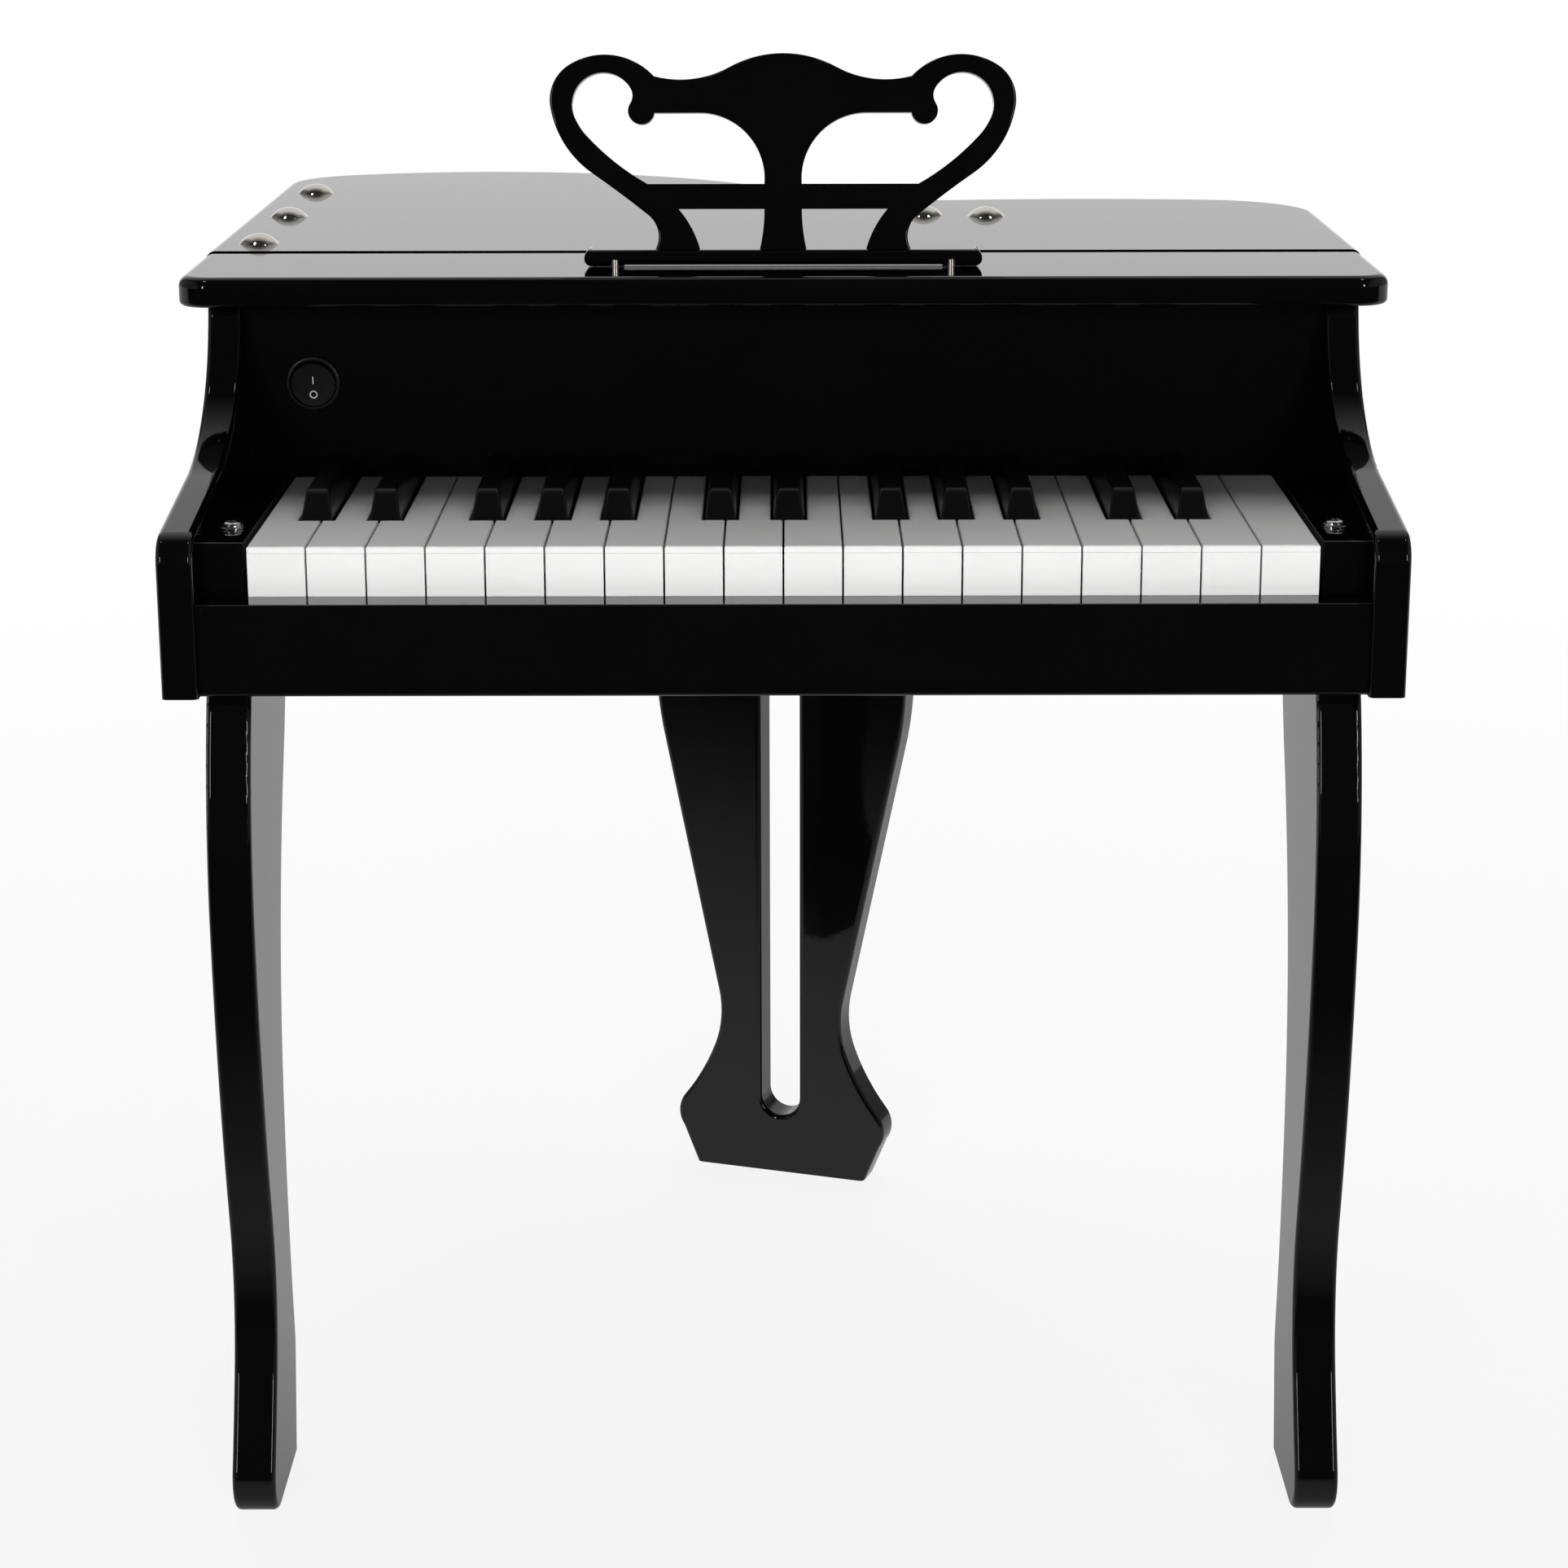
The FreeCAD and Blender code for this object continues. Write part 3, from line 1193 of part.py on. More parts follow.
def key_frame():
    """The moulded chassis: a plate, a raised deck for the contacts, and posts and ribs for the rod."""
    low = FLOOR_TOP
    half = BLOCK_IN
    back = "(pivot_reach + post_depth / 2)"
    plate = block("frame_plate", (f"-{half}", "frame_front", low),
                  (f"2 * {half}", f"{back} - frame_front", "frame_wall"))
    deck = block("frame_deck", (f"-{half}", "deck_front", low),
                 (f"2 * {half}", "deck_back - deck_front", f"{DECK_TOP} - {low}"))
    under = block("frame_under", (f"-{half}", "deck_front + frame_wall", f"{low} + frame_wall"),
                  (f"2 * {half}", "deck_back - deck_front - 2 * frame_wall",
                   f"{DECK_TOP} - {low} - 2 * frame_wall"))
    posts = []
    top = "(-pivot_drop + pivot_rod)"
    for i, x in enumerate((f"-{half}", f"{half} - key_end_gap")):
        posts.append(block(f"frame_post_{i}", (x, "pivot_reach - post_depth / 2", low),
                           ("key_end_gap", "post_depth", f"{top} - {low}")))
    for i in FRAME_RIBS_AFTER:
        posts.append(block(f"frame_rib_{i}",
                           (f"{rib_middle(i)} - rib_wall / 2", "pivot_reach - post_depth / 2", low),
                           ("rib_wall", "post_depth", f"-pivot_drop - {low}")))
    blank = joined("frame_blank", [carved("frame_shell", joined("frame_base", [plate, deck]), under)] + posts)
    bore = rod("frame_bore", (f"-{half}", "pivot_reach", "-pivot_drop"), "pivot_rod / 2", f"2 * {half}",
               FreeCAD.Vector(1, 0, 0))
    stand_on_floor(carved("key_frame", blank, bore), "key_frame")


def contact_board():
    """The circuit board on the deck, under the contacts."""
    piece = block("contact_board", (f"-{KEYS_HALF}", "dome_y - board_width / 2", DECK_TOP),
                  (f"2 * {KEYS_HALF}", "board_width", "board_wall"))
    piece.Label = "contact_board"
    bind_base(piece, f"-{KEYS_HALF}", "keys_front + dome_y - board_width / 2", f"key_top + {DECK_TOP}")
    subparts.append(piece)


def contact_strip():
    """The rubber strip on the board, with one dome under each key."""
    low = f"({DECK_TOP} + board_wall)"
    pieces = [block("strip_sheet", (f"-{KEYS_HALF}", "dome_y - strip_width / 2", low),
                    (f"2 * {KEYS_HALF}", "strip_width", "strip_wall"))]
    middles = [tail_middle(i) for i in range(WHITE_KEYS)]
    middles += [sharp_middle(i) for i in range(WHITE_KEYS) if sharp_after(i)]
    for i, x in enumerate(middles):
        dome = doc.addObject("Part::Cone", f"dome_{i}")
        bind(dome, Radius1="dome_base / 2", Radius2="dome_tip / 2", Height="dome_height")
        pieces.append(bind_base(dome, x, "dome_y", f"{low} + strip_wall"))
    stand_on_floor(joined("contact_strip", pieces), "contact_strip")


def speaker():
    """The speaker, face down on the floor: a flange, a tapered basket and a round magnet."""
    body = new_body("speaker")
    sketch = new_sketch(body, "XZ_Plane", "-speaker_y")
    low = FLOOR_TOP
    rise = f"({low} + speaker_rise)"
    trace(sketch, ("speaker_x", low), [
        ("line", "speaker_x + speaker_width / 2", low),
        ("line", "speaker_x + speaker_width / 2", f"{low} + speaker_flange"),
        ("line", "speaker_x + speaker_cone / 2 + speaker_flange * 2", f"{low} + speaker_flange"),
        ("line", "speaker_x + magnet_width / 2", rise),
        ("line", "speaker_x + magnet_width / 2", f"{rise} + magnet_rise"),
        ("line", "speaker_x", f"{rise} + magnet_rise"),
        ("line", "speaker_x", low)])
    turn = body.newObject("PartDesign::Revolution", "speaker_turn")
    turn.Profile = sketch
    turn.ReferenceAxis = (sketch, ["Edge7"])
    turn.Angle = 360.0


def battery_box():
    """The battery box: a tray set into the floor from above, open below, with a flange round it."""
    inner = ("battery_run - 2 * battery_wall", "battery_depth - 2 * battery_wall")
    corner = ("battery_x - battery_run / 2", f"{BATTERY_Y} - battery_depth / 2")
    tray = block("battery_tray", (*corner, f"{FLOOR_LOW} + door_wall + door_play"),
                 ("battery_run", "battery_depth", "floor_wall + battery_rise - door_wall - door_play"))
    flange = block("battery_flange_plate",
                   (f"{corner[0]} - battery_flange", f"{corner[1]} - battery_flange", FLOOR_TOP),
                   ("battery_run + 2 * battery_flange", "battery_depth + 2 * battery_flange", "battery_wall"))
    hollow = block("battery_hollow",
                   (f"{corner[0]} + battery_wall", f"{corner[1]} + battery_wall", FLOOR_LOW),
                   (*inner, "floor_wall + battery_rise - battery_wall"))
    stand_on_floor(carved("battery_box", joined("battery_shell", [tray, flange]), hollow), "battery_box")


def battery_door():
    """The door that closes the battery box from below, flush with the floor."""
    piece = block("battery_door", ("0", "0", "0"),
                  ("battery_run - 2 * door_play", "battery_depth - 2 * door_play", "door_wall"))
    piece.Label = "battery_door"
    bind_base(piece, "battery_x - battery_run / 2 + door_play",
              f"keys_front + {BATTERY_Y} - battery_depth / 2 + door_play", f"key_top + {FLOOR_LOW}")
    subparts.append(piece)


def build():
    """Draw every piece."""
    for index in range(WHITE_KEYS):
        white_key(index)
    sharps = [index for index in range(WHITE_KEYS) if sharp_after(index)]
    for count, index in enumerate(sharps, start=1):
        black_key(index, count)
    wire = plan_wire()
    side_panel("left_side_panel", -1)
    side_panel("right_side_panel", 1)
    bent_rim(wire)
    bottom_board(wire)
    main_lid(wire)
    lid_front_strip()
    lid_bolts()
    hinge_leaf("hinge_lid_leaf", f"({LID_UNDER} - lid_leaf)", "lid_leaf", 1, False)
    hinge_leaf("hinge_case_leaf", REBATE_Z, "case_leaf", 0, True)
    prop_bracket()
    prop_stick()
    music_stand()
    stand_pins()
    front_leg("front_leg_left", -1)
    front_leg("front_leg_right", 1)
    rear_leg()
    leg_bolts()
    key_slip()
    key_blocks()
    key_block_screws()
    fallboard()
    power_switch()
    switch_rocker()
    key_pivot_rod()
    key_frame()
    contact_board()
    contact_strip()
    speaker()
    battery_box()
    battery_door()


def check():
    """Stop if anything failed to build."""
    for item in doc.Objects:
        if "Invalid" in item.State or "Error" in item.State:
            raise RuntimeError(f"{item.Label} failed: {item.State}")
    for piece in subparts:
        if piece.Shape.isNull() or not piece.Shape.isValid() or not piece.Shape.Solids:
            raise RuntimeError(f"{piece.Label} has no valid solid")


def write():
    """Write one file for each piece."""
    os.makedirs("parts", exist_ok=True)
    for piece in subparts:
        piece.Shape.exportStep(f"parts/{piece.Label}.step")
    print(f"{len(subparts)} pieces written")


build()
doc.recompute()
check()
write()
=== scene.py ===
"""Looks of a black toy baby grand: lacquered case, satin keys, chrome domes, screws and switch marks."""

from __future__ import annotations

import json
import logging
import math
from collections.abc import Iterable, Mapping, Sequence
from dataclasses import dataclass, field
from enum import Enum
from typing import Any

import bmesh
import bpy
from mathutils import Matrix, Vector
from mathutils.bvhtree import BVHTree

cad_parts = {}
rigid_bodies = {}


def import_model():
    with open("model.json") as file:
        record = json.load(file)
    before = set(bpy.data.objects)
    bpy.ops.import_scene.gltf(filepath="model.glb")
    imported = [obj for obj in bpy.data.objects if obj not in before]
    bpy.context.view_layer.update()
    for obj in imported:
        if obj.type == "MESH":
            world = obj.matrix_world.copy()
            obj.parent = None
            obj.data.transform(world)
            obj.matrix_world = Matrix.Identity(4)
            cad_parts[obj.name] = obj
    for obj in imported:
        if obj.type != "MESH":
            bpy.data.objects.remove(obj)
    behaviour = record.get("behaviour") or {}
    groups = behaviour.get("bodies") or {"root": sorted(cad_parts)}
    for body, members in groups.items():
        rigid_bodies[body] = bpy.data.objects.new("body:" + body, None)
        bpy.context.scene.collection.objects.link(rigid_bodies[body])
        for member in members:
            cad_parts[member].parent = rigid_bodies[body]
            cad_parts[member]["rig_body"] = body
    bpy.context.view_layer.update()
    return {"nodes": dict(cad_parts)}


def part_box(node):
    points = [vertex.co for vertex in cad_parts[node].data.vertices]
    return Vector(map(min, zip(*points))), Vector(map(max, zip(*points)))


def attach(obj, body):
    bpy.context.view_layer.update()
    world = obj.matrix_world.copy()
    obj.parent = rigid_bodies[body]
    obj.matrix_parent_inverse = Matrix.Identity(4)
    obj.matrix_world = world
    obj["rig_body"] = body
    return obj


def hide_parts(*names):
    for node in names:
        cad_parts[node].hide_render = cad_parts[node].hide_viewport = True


log = logging.getLogger("toy_piano")

MM = 0.001
# Points nearer than this, in metres, become one.
WELD = 1e-6
# Edges that turn further than this, in degrees, stay sharp.
CREASE = 35.0

Colour = tuple[float, float, float, float]
Point = tuple[float, float, float]


class Slot(Enum):
    """The finishes that the part's record names."""

    LACQUER = "black_lacquer"
    WHITE_KEY = "white_key_plastic"
    BLACK_KEY = "black_key_plastic"
    CHROME = "polished_chrome"
    ZINC = "zinc_steel"
    HINGE = "hinge_steel"
    CHASSIS = "chassis_plastic"
    BOARD = "circuit_board"
    RUBBER = "contact_rubber"
    SPEAKER = "speaker_steel"
    MOULDED = "black_plastic"


@dataclass(frozen=True)
class Shade:
    """A node's output inside one tree, on which sums and products can be written."""

    graph: "Graph"
    socket: bpy.types.NodeSocket

    def _sum(self, operation: str, first: Any, second: Any) -> "Shade":
        """Add one Math node.

        Args:
            operation: the Math node's operation.
            first: a Shade or a number.
            second: a Shade or a number.

        Returns:
            The node's value.
        """
        return self.graph.add("ShaderNodeMath", {"operation": operation}, {0: first, 1: second})

    def __add__(self, other: Any) -> "Shade":
        """Value plus other."""
        return self._sum("ADD", self, other)

    def __radd__(self, other: Any) -> "Shade":
        """Other plus value."""
        return self._sum("ADD", other, self)

    def __sub__(self, other: Any) -> "Shade":
        """Value less other."""
        return self._sum("SUBTRACT", self, other)

    def __rsub__(self, other: Any) -> "Shade":
        """Other less value."""
        return self._sum("SUBTRACT", other, self)

    def __mul__(self, other: Any) -> "Shade":
        """Value times other."""
        return self._sum("MULTIPLY", self, other)

    def __rmul__(self, other: Any) -> "Shade":
        """Other times value."""
        return self._sum("MULTIPLY", other, self)


@dataclass
class Graph:
    """A node tree while it is wired, for a material, the world or a repeat of pieces."""

    tree: bpy.types.NodeTree

    def add(self, kind: str, settings: Mapping[str, Any] | None = None,
            sockets: Mapping[Any, Any] | None = None, out: int | str = 0) -> Shade:
        """Add one node.

        Args:
            kind: the node's type.
            settings: its properties, set first.
            sockets: input name or number, with a value or a Shade to link.
            out: name or number of the output to hand back.

        Returns:
            The chosen output, or the node's first input where it has no output.
        """
        node = self.tree.nodes.new(kind)
        for name, value in (settings or {}).items():
            setattr(node, name, value)
        for name, value in (sockets or {}).items():
            if isinstance(value, Shade):
                self.tree.links.new(value.socket, node.inputs[name])
            else:
                node.inputs[name].default_value = value
        return Shade(self, node.outputs[out] if len(node.outputs) else node.inputs[0])

    def place(self) -> Shade:
        """Where a point lies on its piece, in metres."""
        return self.add("ShaderNodeTexCoord", out="Object")

    def axis(self, vector: Shade, name: str) -> Shade:
        """One axis of a vector, X, Y or Z."""
        return self.add("ShaderNodeSeparateXYZ", None, {0: vector}, name)

    def eased(self, value: Shade, span: tuple[float, float], low: float = 0.0, high: float = 1.0) -> Shade:
        """Ease from low to high while a value crosses a span.

        Args:
            value: the value.
            span: where the easing starts and ends.
            low: the result before the span.
            high: the result after it.

        Returns:
            The eased value.
        """
        return self.add("ShaderNodeMapRange", {"interpolation_type": "SMOOTHSTEP"}, {
            "Value": value, "From Min": span[0], "From Max": span[1], "To Min": low, "To Max": high})

    def noise(self, scale: float, detail: float = 2.0, rough: float = 0.5, at: Shade | None = None) -> Shade:
        """Add soft noise over the piece.

        Args:
            scale: grains in a metre.
            detail: how many finer layers it has.
            rough: how strong those are.
            at: where it is read, or None for the piece's own place.

        Returns:
            The noise, from 0 to 1.
        """
        return self.add("ShaderNodeTexNoise", None, {
            "Vector": at or self.place(), "Scale": scale, "Detail": detail, "Roughness": rough})

    def stretched(self, scale: Point) -> Shade:
        """Add a mapping that draws a pattern out.

        Args:
            scale: how far each axis is packed together.

        Returns:
            The mapped place.
        """
        return self.add("ShaderNodeMapping", None, {"Vector": self.place(), "Scale": scale})

    def spread(self, value: Shade, low: float, high: float) -> Shade:
        """Take a value from 0 to 1 over to low to high.

        Args:
            value: the value.
            low: what 0 becomes.
            high: what 1 becomes.

        Returns:
            The new value.
        """
        return value * (high - low) + low

    def tint(self, factor: Shade, first: Colour | Shade, second: Colour) -> Shade:
        """Blend two colours.

        Args:
            factor: 0 for the first colour, 1 for the second.
            first: a colour, or a Shade that gives one.
            second: a colour.

        Returns:
            The colour.
        """
        return self.add("ShaderNodeMix", {"data_type": "RGBA"}, {0: factor, 6: first, 7: second}, out=2)

    def bump(self, height: Shade, depth: float) -> Shade:
        """Turn a height into a tilted normal.

        Args:
            height: the height, from 0 to 1.
            depth: how many metres the whole height is.

        Returns:
            The normal.
        """
        return self.add("ShaderNodeBump", None, {"Height": height, "Distance": depth, "Strength": 1.0})


def grey(value: float) -> Colour:
    """A neutral colour of that linear value."""
    return (value, value, value, 1.0)


@dataclass(frozen=True)
class Finish:
    """A surface: what it is called, and the plain values of its shader."""

    name: str
    metal: float = 0.0
    ior: float = 1.5
    specular: float = 0.5

    def material(self) -> bpy.types.Material:
        """Make the material.

        Returns:
            A new material with the finish's own nodes.
        """
        made = bpy.data.materials.new(self.name)
        made.use_nodes = True
        made.node_tree.nodes.clear()
        graph = Graph(made.node_tree)
        values = {"Metallic": self.metal, "IOR": self.ior, "Specular IOR Level": self.specular}
        shader = graph.add("ShaderNodeBsdfPrincipled", None, {**values, **self.surface(graph)})
        graph.add("ShaderNodeOutputMaterial", None, {"Surface": shader})
        return made

    def surface(self, graph: Graph) -> dict[str, Any]:
        """The shader's varying inputs by socket name, which each kind of finish gives."""
        raise NotImplementedError(self.name)


@dataclass(frozen=True)
class Lacquer(Finish):
    """Deep black piano lacquer, polished, with a breath of orange peel and faint polishing haze."""

    low: Colour = (0.0009, 0.0009, 0.0010, 1.0)
    high: Colour = (0.0016, 0.0015, 0.0015, 1.0)
    cloud: float = 14.0
    swirl: float = 900.0
    wiped: Point = (1.0, 0.12, 1.0)
    shine: tuple[float, float] = (0.018, 0.045)
    haze: float = 0.012
    peel: float = 420.0
    peel_depth: float = 0.0000045

    def surface(self, graph: Graph) -> dict[str, Any]:
        """The varying inputs of the lacquer.

        Args:
            graph: the tree being wired.

        Returns:
            Socket names with their values.
        """
        cloud = graph.noise(self.cloud, 3.0)
        swirl = graph.noise(self.swirl, 1.0, 0.5, graph.stretched(self.wiped))
        peel = graph.noise(self.peel, 1.0, 0.4)
        return {"Base Color": graph.tint(cloud, self.low, self.high),
                "Roughness": graph.spread(cloud, *self.shine) + swirl * self.haze,
                "Normal": graph.bump(peel, self.peel_depth)}


@dataclass(frozen=True)
class KeyPlastic(Finish):
    """Satin moulded key plastic with a fine spark-eroded grain."""

    low: Colour = grey(0.70)
    high: Colour = grey(0.76)
    shine: tuple[float, float] = (0.36, 0.46)
    cloud: float = 22.0
    grain: float = 2600.0
    grain_share: float = 0.3
    grain_depth: float = 0.00002

    def surface(self, graph: Graph) -> dict[str, Any]:
        """The varying inputs of the key plastic.

        Args:
            graph: the tree being wired.

        Returns:
            Socket names with their values.
        """
        cloud = graph.noise(self.cloud, 4.0)
        grain = graph.noise(self.grain, 2.0, 0.6)
        mottle = cloud * (1.0 - self.grain_share) + grain * self.grain_share
        return {"Base Color": graph.tint(mottle, self.low, self.high),
                "Roughness": graph.spread(mottle, *self.shine),
                "Normal": graph.bump(grain, self.grain_depth)}


@dataclass(frozen=True)
class Metal(Finish):
    """A bare or plated metal, with lines of work drawn out along one axis."""

    metal: float = 1.0
    low: Colour = grey(0.6)
    high: Colour = grey(0.7)
    shine: tuple[float, float] = (0.2, 0.3)
    cloud: float = 70.0
    drawn: Point = (1.0, 1.0, 1.0)
    lines: float = 600.0
    line_share: float = 0.4
    line_depth: float = 0.000004

    def surface(self, graph: Graph) -> dict[str, Any]:
        """The varying inputs of the metal.

        Args:
            graph: the tree being wired.

        Returns:
            Socket names with their values.
        """
        lines = graph.noise(self.lines, 3.0, 0.6, graph.stretched(self.drawn))
        cloud = graph.noise(self.cloud, 3.0)
        worn = cloud * (1.0 - self.line_share) + lines * self.line_share
        return {"Base Color": graph.tint(cloud, self.low, self.high),
                "Roughness": graph.spread(worn, *self.shine),
                "Normal": graph.bump(lines, self.line_depth)}


@dataclass(frozen=True)
class Moulding(Finish):
    """Moulded plastic or rubber with an even grain and slow changes of tone."""

    low: Colour = grey(0.012)
    high: Colour = grey(0.02)
    shine: tuple[float, float] = (0.3, 0.42)
    cloud: float = 60.0
    grain: float = 1500.0
    grain_depth: float = 0.00003

    def surface(self, graph: Graph) -> dict[str, Any]:
        """The varying inputs of the moulding.

        Args:
            graph: the tree being wired.

        Returns:
            Socket names with their values.
        """
        cloud = graph.noise(self.cloud, 3.0)
        cells = graph.add("ShaderNodeTexVoronoi", None, {
            "Vector": graph.place(), "Scale": self.grain}, "Distance")
        return {"Base Color": graph.tint(cloud, self.low, self.high),
                "Roughness": graph.spread(cloud, *self.shine),
                "Normal": graph.bump(cells, self.grain_depth)}


@dataclass(frozen=True)
class BoardFinish(Finish):
    """A brown circuit board with rows of tinned tracks under its lacquer."""

    board: Colour = (0.20, 0.11, 0.045, 1.0)
    track: Colour = (0.34, 0.24, 0.10, 1.0)
    tracks: float = 60.0
    gap: float = 0.03
    run: float = 0.7
    row: float = 0.16
    fibres: float = 900.0
    fibre_share: float = 0.15
    shine: tuple[float, float] = (0.3, 0.5)
    track_depth: float = 0.00004

    def surface(self, graph: Graph) -> dict[str, Any]:
        """The varying inputs of the circuit board.

        Args:
            graph: the tree being wired.

        Returns:
            Socket names with their values.
        """
        bricks = graph.add("ShaderNodeTexBrick", None, {
            "Vector": graph.place(), "Scale": self.tracks, "Mortar Size": self.gap, "Brick Width": self.run,
            "Row Height": self.row, "Color1": grey(0.0), "Color2": grey(0.15), "Mortar": grey(1.0)})
        fibre = graph.noise(self.fibres, 3.0)
        track = graph.add("ShaderNodeRGBToBW", None, {"Color": bricks})
        mixed = track * (1.0 - self.fibre_share) + fibre * self.fibre_share
        return {"Base Color": graph.tint(mixed, self.board, self.track),
                "Roughness": graph.spread(fibre, *self.shine),
                "Normal": graph.bump(track, self.track_depth)}


FINISHES: dict[Slot, Finish] = {
    Slot.LACQUER: Lacquer("black_lacquer_polished"),
    Slot.WHITE_KEY: KeyPlastic("white_key_satin", low=(0.68, 0.68, 0.675, 1.0),
                               high=(0.75, 0.75, 0.745, 1.0)),
    Slot.BLACK_KEY: KeyPlastic("black_key_satin", low=grey(0.0016), high=grey(0.003), shine=(0.24, 0.34),
                               grain=2000.0, specular=0.4),
    Slot.CHROME: Metal("chrome_polished", low=(0.74, 0.70, 0.63, 1.0), high=(0.86, 0.82, 0.76, 1.0),
                       shine=(0.03, 0.09), line_depth=0.000001),
    Slot.ZINC: Metal("zinc_plated", low=(0.62, 0.64, 0.63, 1.0), high=(0.78, 0.79, 0.77, 1.0),
                     shine=(0.12, 0.24), line_depth=0.000002),
    Slot.HINGE: Metal("hinge_steel_brushed", low=(0.46, 0.45, 0.43, 1.0), high=(0.58, 0.57, 0.55, 1.0),
                      shine=(0.22, 0.36), drawn=(1.0, 0.04, 1.0), lines=2400.0),
    Slot.CHASSIS: Moulding("chassis_moulded", low=grey(0.035), high=grey(0.05), shine=(0.42, 0.55),
                           grain=900.0),
    Slot.BOARD: BoardFinish("board_lacquered"),
    Slot.RUBBER: Moulding("contact_rubber_grey", low=grey(0.24), high=grey(0.30), shine=(0.55, 0.7)),
    Slot.SPEAKER: Metal("speaker_steel_coated", low=grey(0.10), high=grey(0.16), shine=(0.35, 0.5),
                        metal=0.7),
    Slot.MOULDED: Moulding("switch_moulded", low=grey(0.0028), high=grey(0.0048), shine=(0.26, 0.36)),
}
FALLBOARD_PAINT = KeyPlastic("fallboard_matte_black", low=grey(0.0004), high=grey(0.0012), shine=(0.5, 0.65),
                             grain=1400.0, specular=0.08)
MARK_PAINT = Moulding("mark_paint_white", low=grey(0.34), high=grey(0.44), shine=(0.45, 0.6))


def add_object(name: str, mesh: bpy.types.Mesh) -> bpy.types.Object:
    """Put a mesh into the scene.

    Args:
        name: the piece's name.
        mesh: its mesh, already in place.

    Returns:
        The new object, at the origin.
    """
    made = bpy.data.objects.new(name, mesh)
    bpy.context.scene.collection.objects.link(made)
    return made


def closed_mesh(name: str, shape: bmesh.types.BMesh, sharp: float = CREASE) -> bpy.types.Mesh:
    """Merge, turn outwards and smooth a shape.

    Args:
        name: the mesh's name.
        shape: the shape, freed here.
        sharp: degrees past which an edge stays sharp.

    Returns:
        The finished mesh.
    """
    bmesh.ops.remove_doubles(shape, verts=shape.verts, dist=WELD)
    bmesh.ops.recalc_face_normals(shape, faces=shape.faces)
    for face in shape.faces:
        face.smooth = True
    mesh = bpy.data.meshes.new(name)
    shape.to_mesh(mesh)
    shape.free()
    mesh.set_sharp_from_angle(angle=math.radians(sharp))
    return mesh


def turned_shape(profile: Sequence[tuple[float, float]], sides: int) -> bmesh.types.BMesh:
    """Turn a profile about the upright axis.

    Args:
        profile: (radius, height) pairs from the lower middle to the upper middle, in metres.
        sides: how many steps a turn has.

    Returns:
        The turned shape.
    """
    shape = bmesh.new()
    turns = [math.tau * i / sides for i in range(sides)]
    rings = [[shape.verts.new((radius * math.cos(turn), radius * math.sin(turn), z)) for turn in turns]
             for radius, z in profile]
    for lower, upper in zip(rings, rings[1:]):
        for i in range(sides):
            following = (i + 1) % sides
            shape.faces.new((lower[i], lower[following], upper[following], upper[i]))
    bmesh.ops.remove_doubles(shape, verts=shape.verts, dist=WELD)
    bmesh.ops.dissolve_degenerate(shape, edges=shape.edges, dist=WELD)
    return shape


def box_shape(shape: bmesh.types.BMesh, low: Point, high: Point, taper: float = 1.0) -> None:
    """Add a box to a shape.

    Args:
        shape: the shape it goes into.
        low: the lowest corner, in metres.
        high: the highest corner, in metres.
        taper: the lower face's size as a share of the upper one.
    """
    centre = ((low[0] + high[0]) / 2, (low[1] + high[1]) / 2)
    points = []
    for z, share in ((low[2], taper), (high[2], 1.0)):
        for x, y in ((low[0], low[1]), (high[0], low[1]), (high[0], high[1]), (low[0], high[1])):
            points.append(shape.verts.new((centre[0] + (x - centre[0]) * share,
                                           centre[1] + (y - centre[1]) * share, z)))
    for face in ((0, 1, 2, 3), (4, 5, 6, 7), (0, 1, 5, 4), (1, 2, 6, 5), (2, 3, 7, 6), (3, 0, 4, 7)):
        shape.faces.new([points[i] for i in face])


def baked(piece: bpy.types.Object) -> bpy.types.Mesh:
    """The plain mesh that a piece's modifiers give."""
    bpy.context.view_layer.update()
    return bpy.data.meshes.new_from_object(piece.evaluated_get(bpy.context.evaluated_depsgraph_get()))


def settle(piece: bpy.types.Object) -> bpy.types.Object:
    """Replace a piece's modifiers by their result.

    Args:
        piece: the piece.

    Returns:
        The same piece with a plain mesh.
    """
    mesh = baked(piece)
    piece.modifiers.clear()
    piece.data = mesh
    return piece


@dataclass
class Frame:
    """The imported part: its nodes, and the surfaces that small pieces are set on."""

    nodes: dict[str, bpy.types.Object]
    finishes: dict[Slot, bpy.types.Material] = field(default_factory=dict)

    def __post_init__(self) -> None:
        """Make each of the record's finishes once."""
        self.finishes = {slot: finish.material() for slot, finish in FINISHES.items()}

    def dress(self, slot: Slot, names: Iterable[str]) -> None:
        """Give nodes their finish.

        Args:
            slot: the finish.
            names: the nodes that take it.
        """
        for name in names:
            for place in self.nodes[name].material_slots:
                place.material = self.finishes[slot]
            log.info("dressed %s in %s", name, self.finishes[slot].name)

    def named(self, start: str) -> list[str]:
        """The nodes whose names start so, in order."""
        return sorted(name for name in self.nodes if name.startswith(start))

    def surface(self, name: str) -> BVHTree:
        """A tree of one node's faces to measure on."""
        mesh = self.nodes[name].data
        return BVHTree.FromPolygons([v.co for v in mesh.vertices], [tuple(p.vertices) for p in mesh.polygons])

    def top_at(self, name: str, x: float, y: float) -> float:
        """Find a node's height at a place.

        Args:
            name: the node.
            x: place across, in metres.
            y: place from front to back, in metres.

        Returns:
            The height of its topmost face there.
        """
        hit = self.surface(name).ray_cast(Vector((x, y, 1.0)), Vector((0.0, 0.0, -1.0)))[0]
        return hit.z


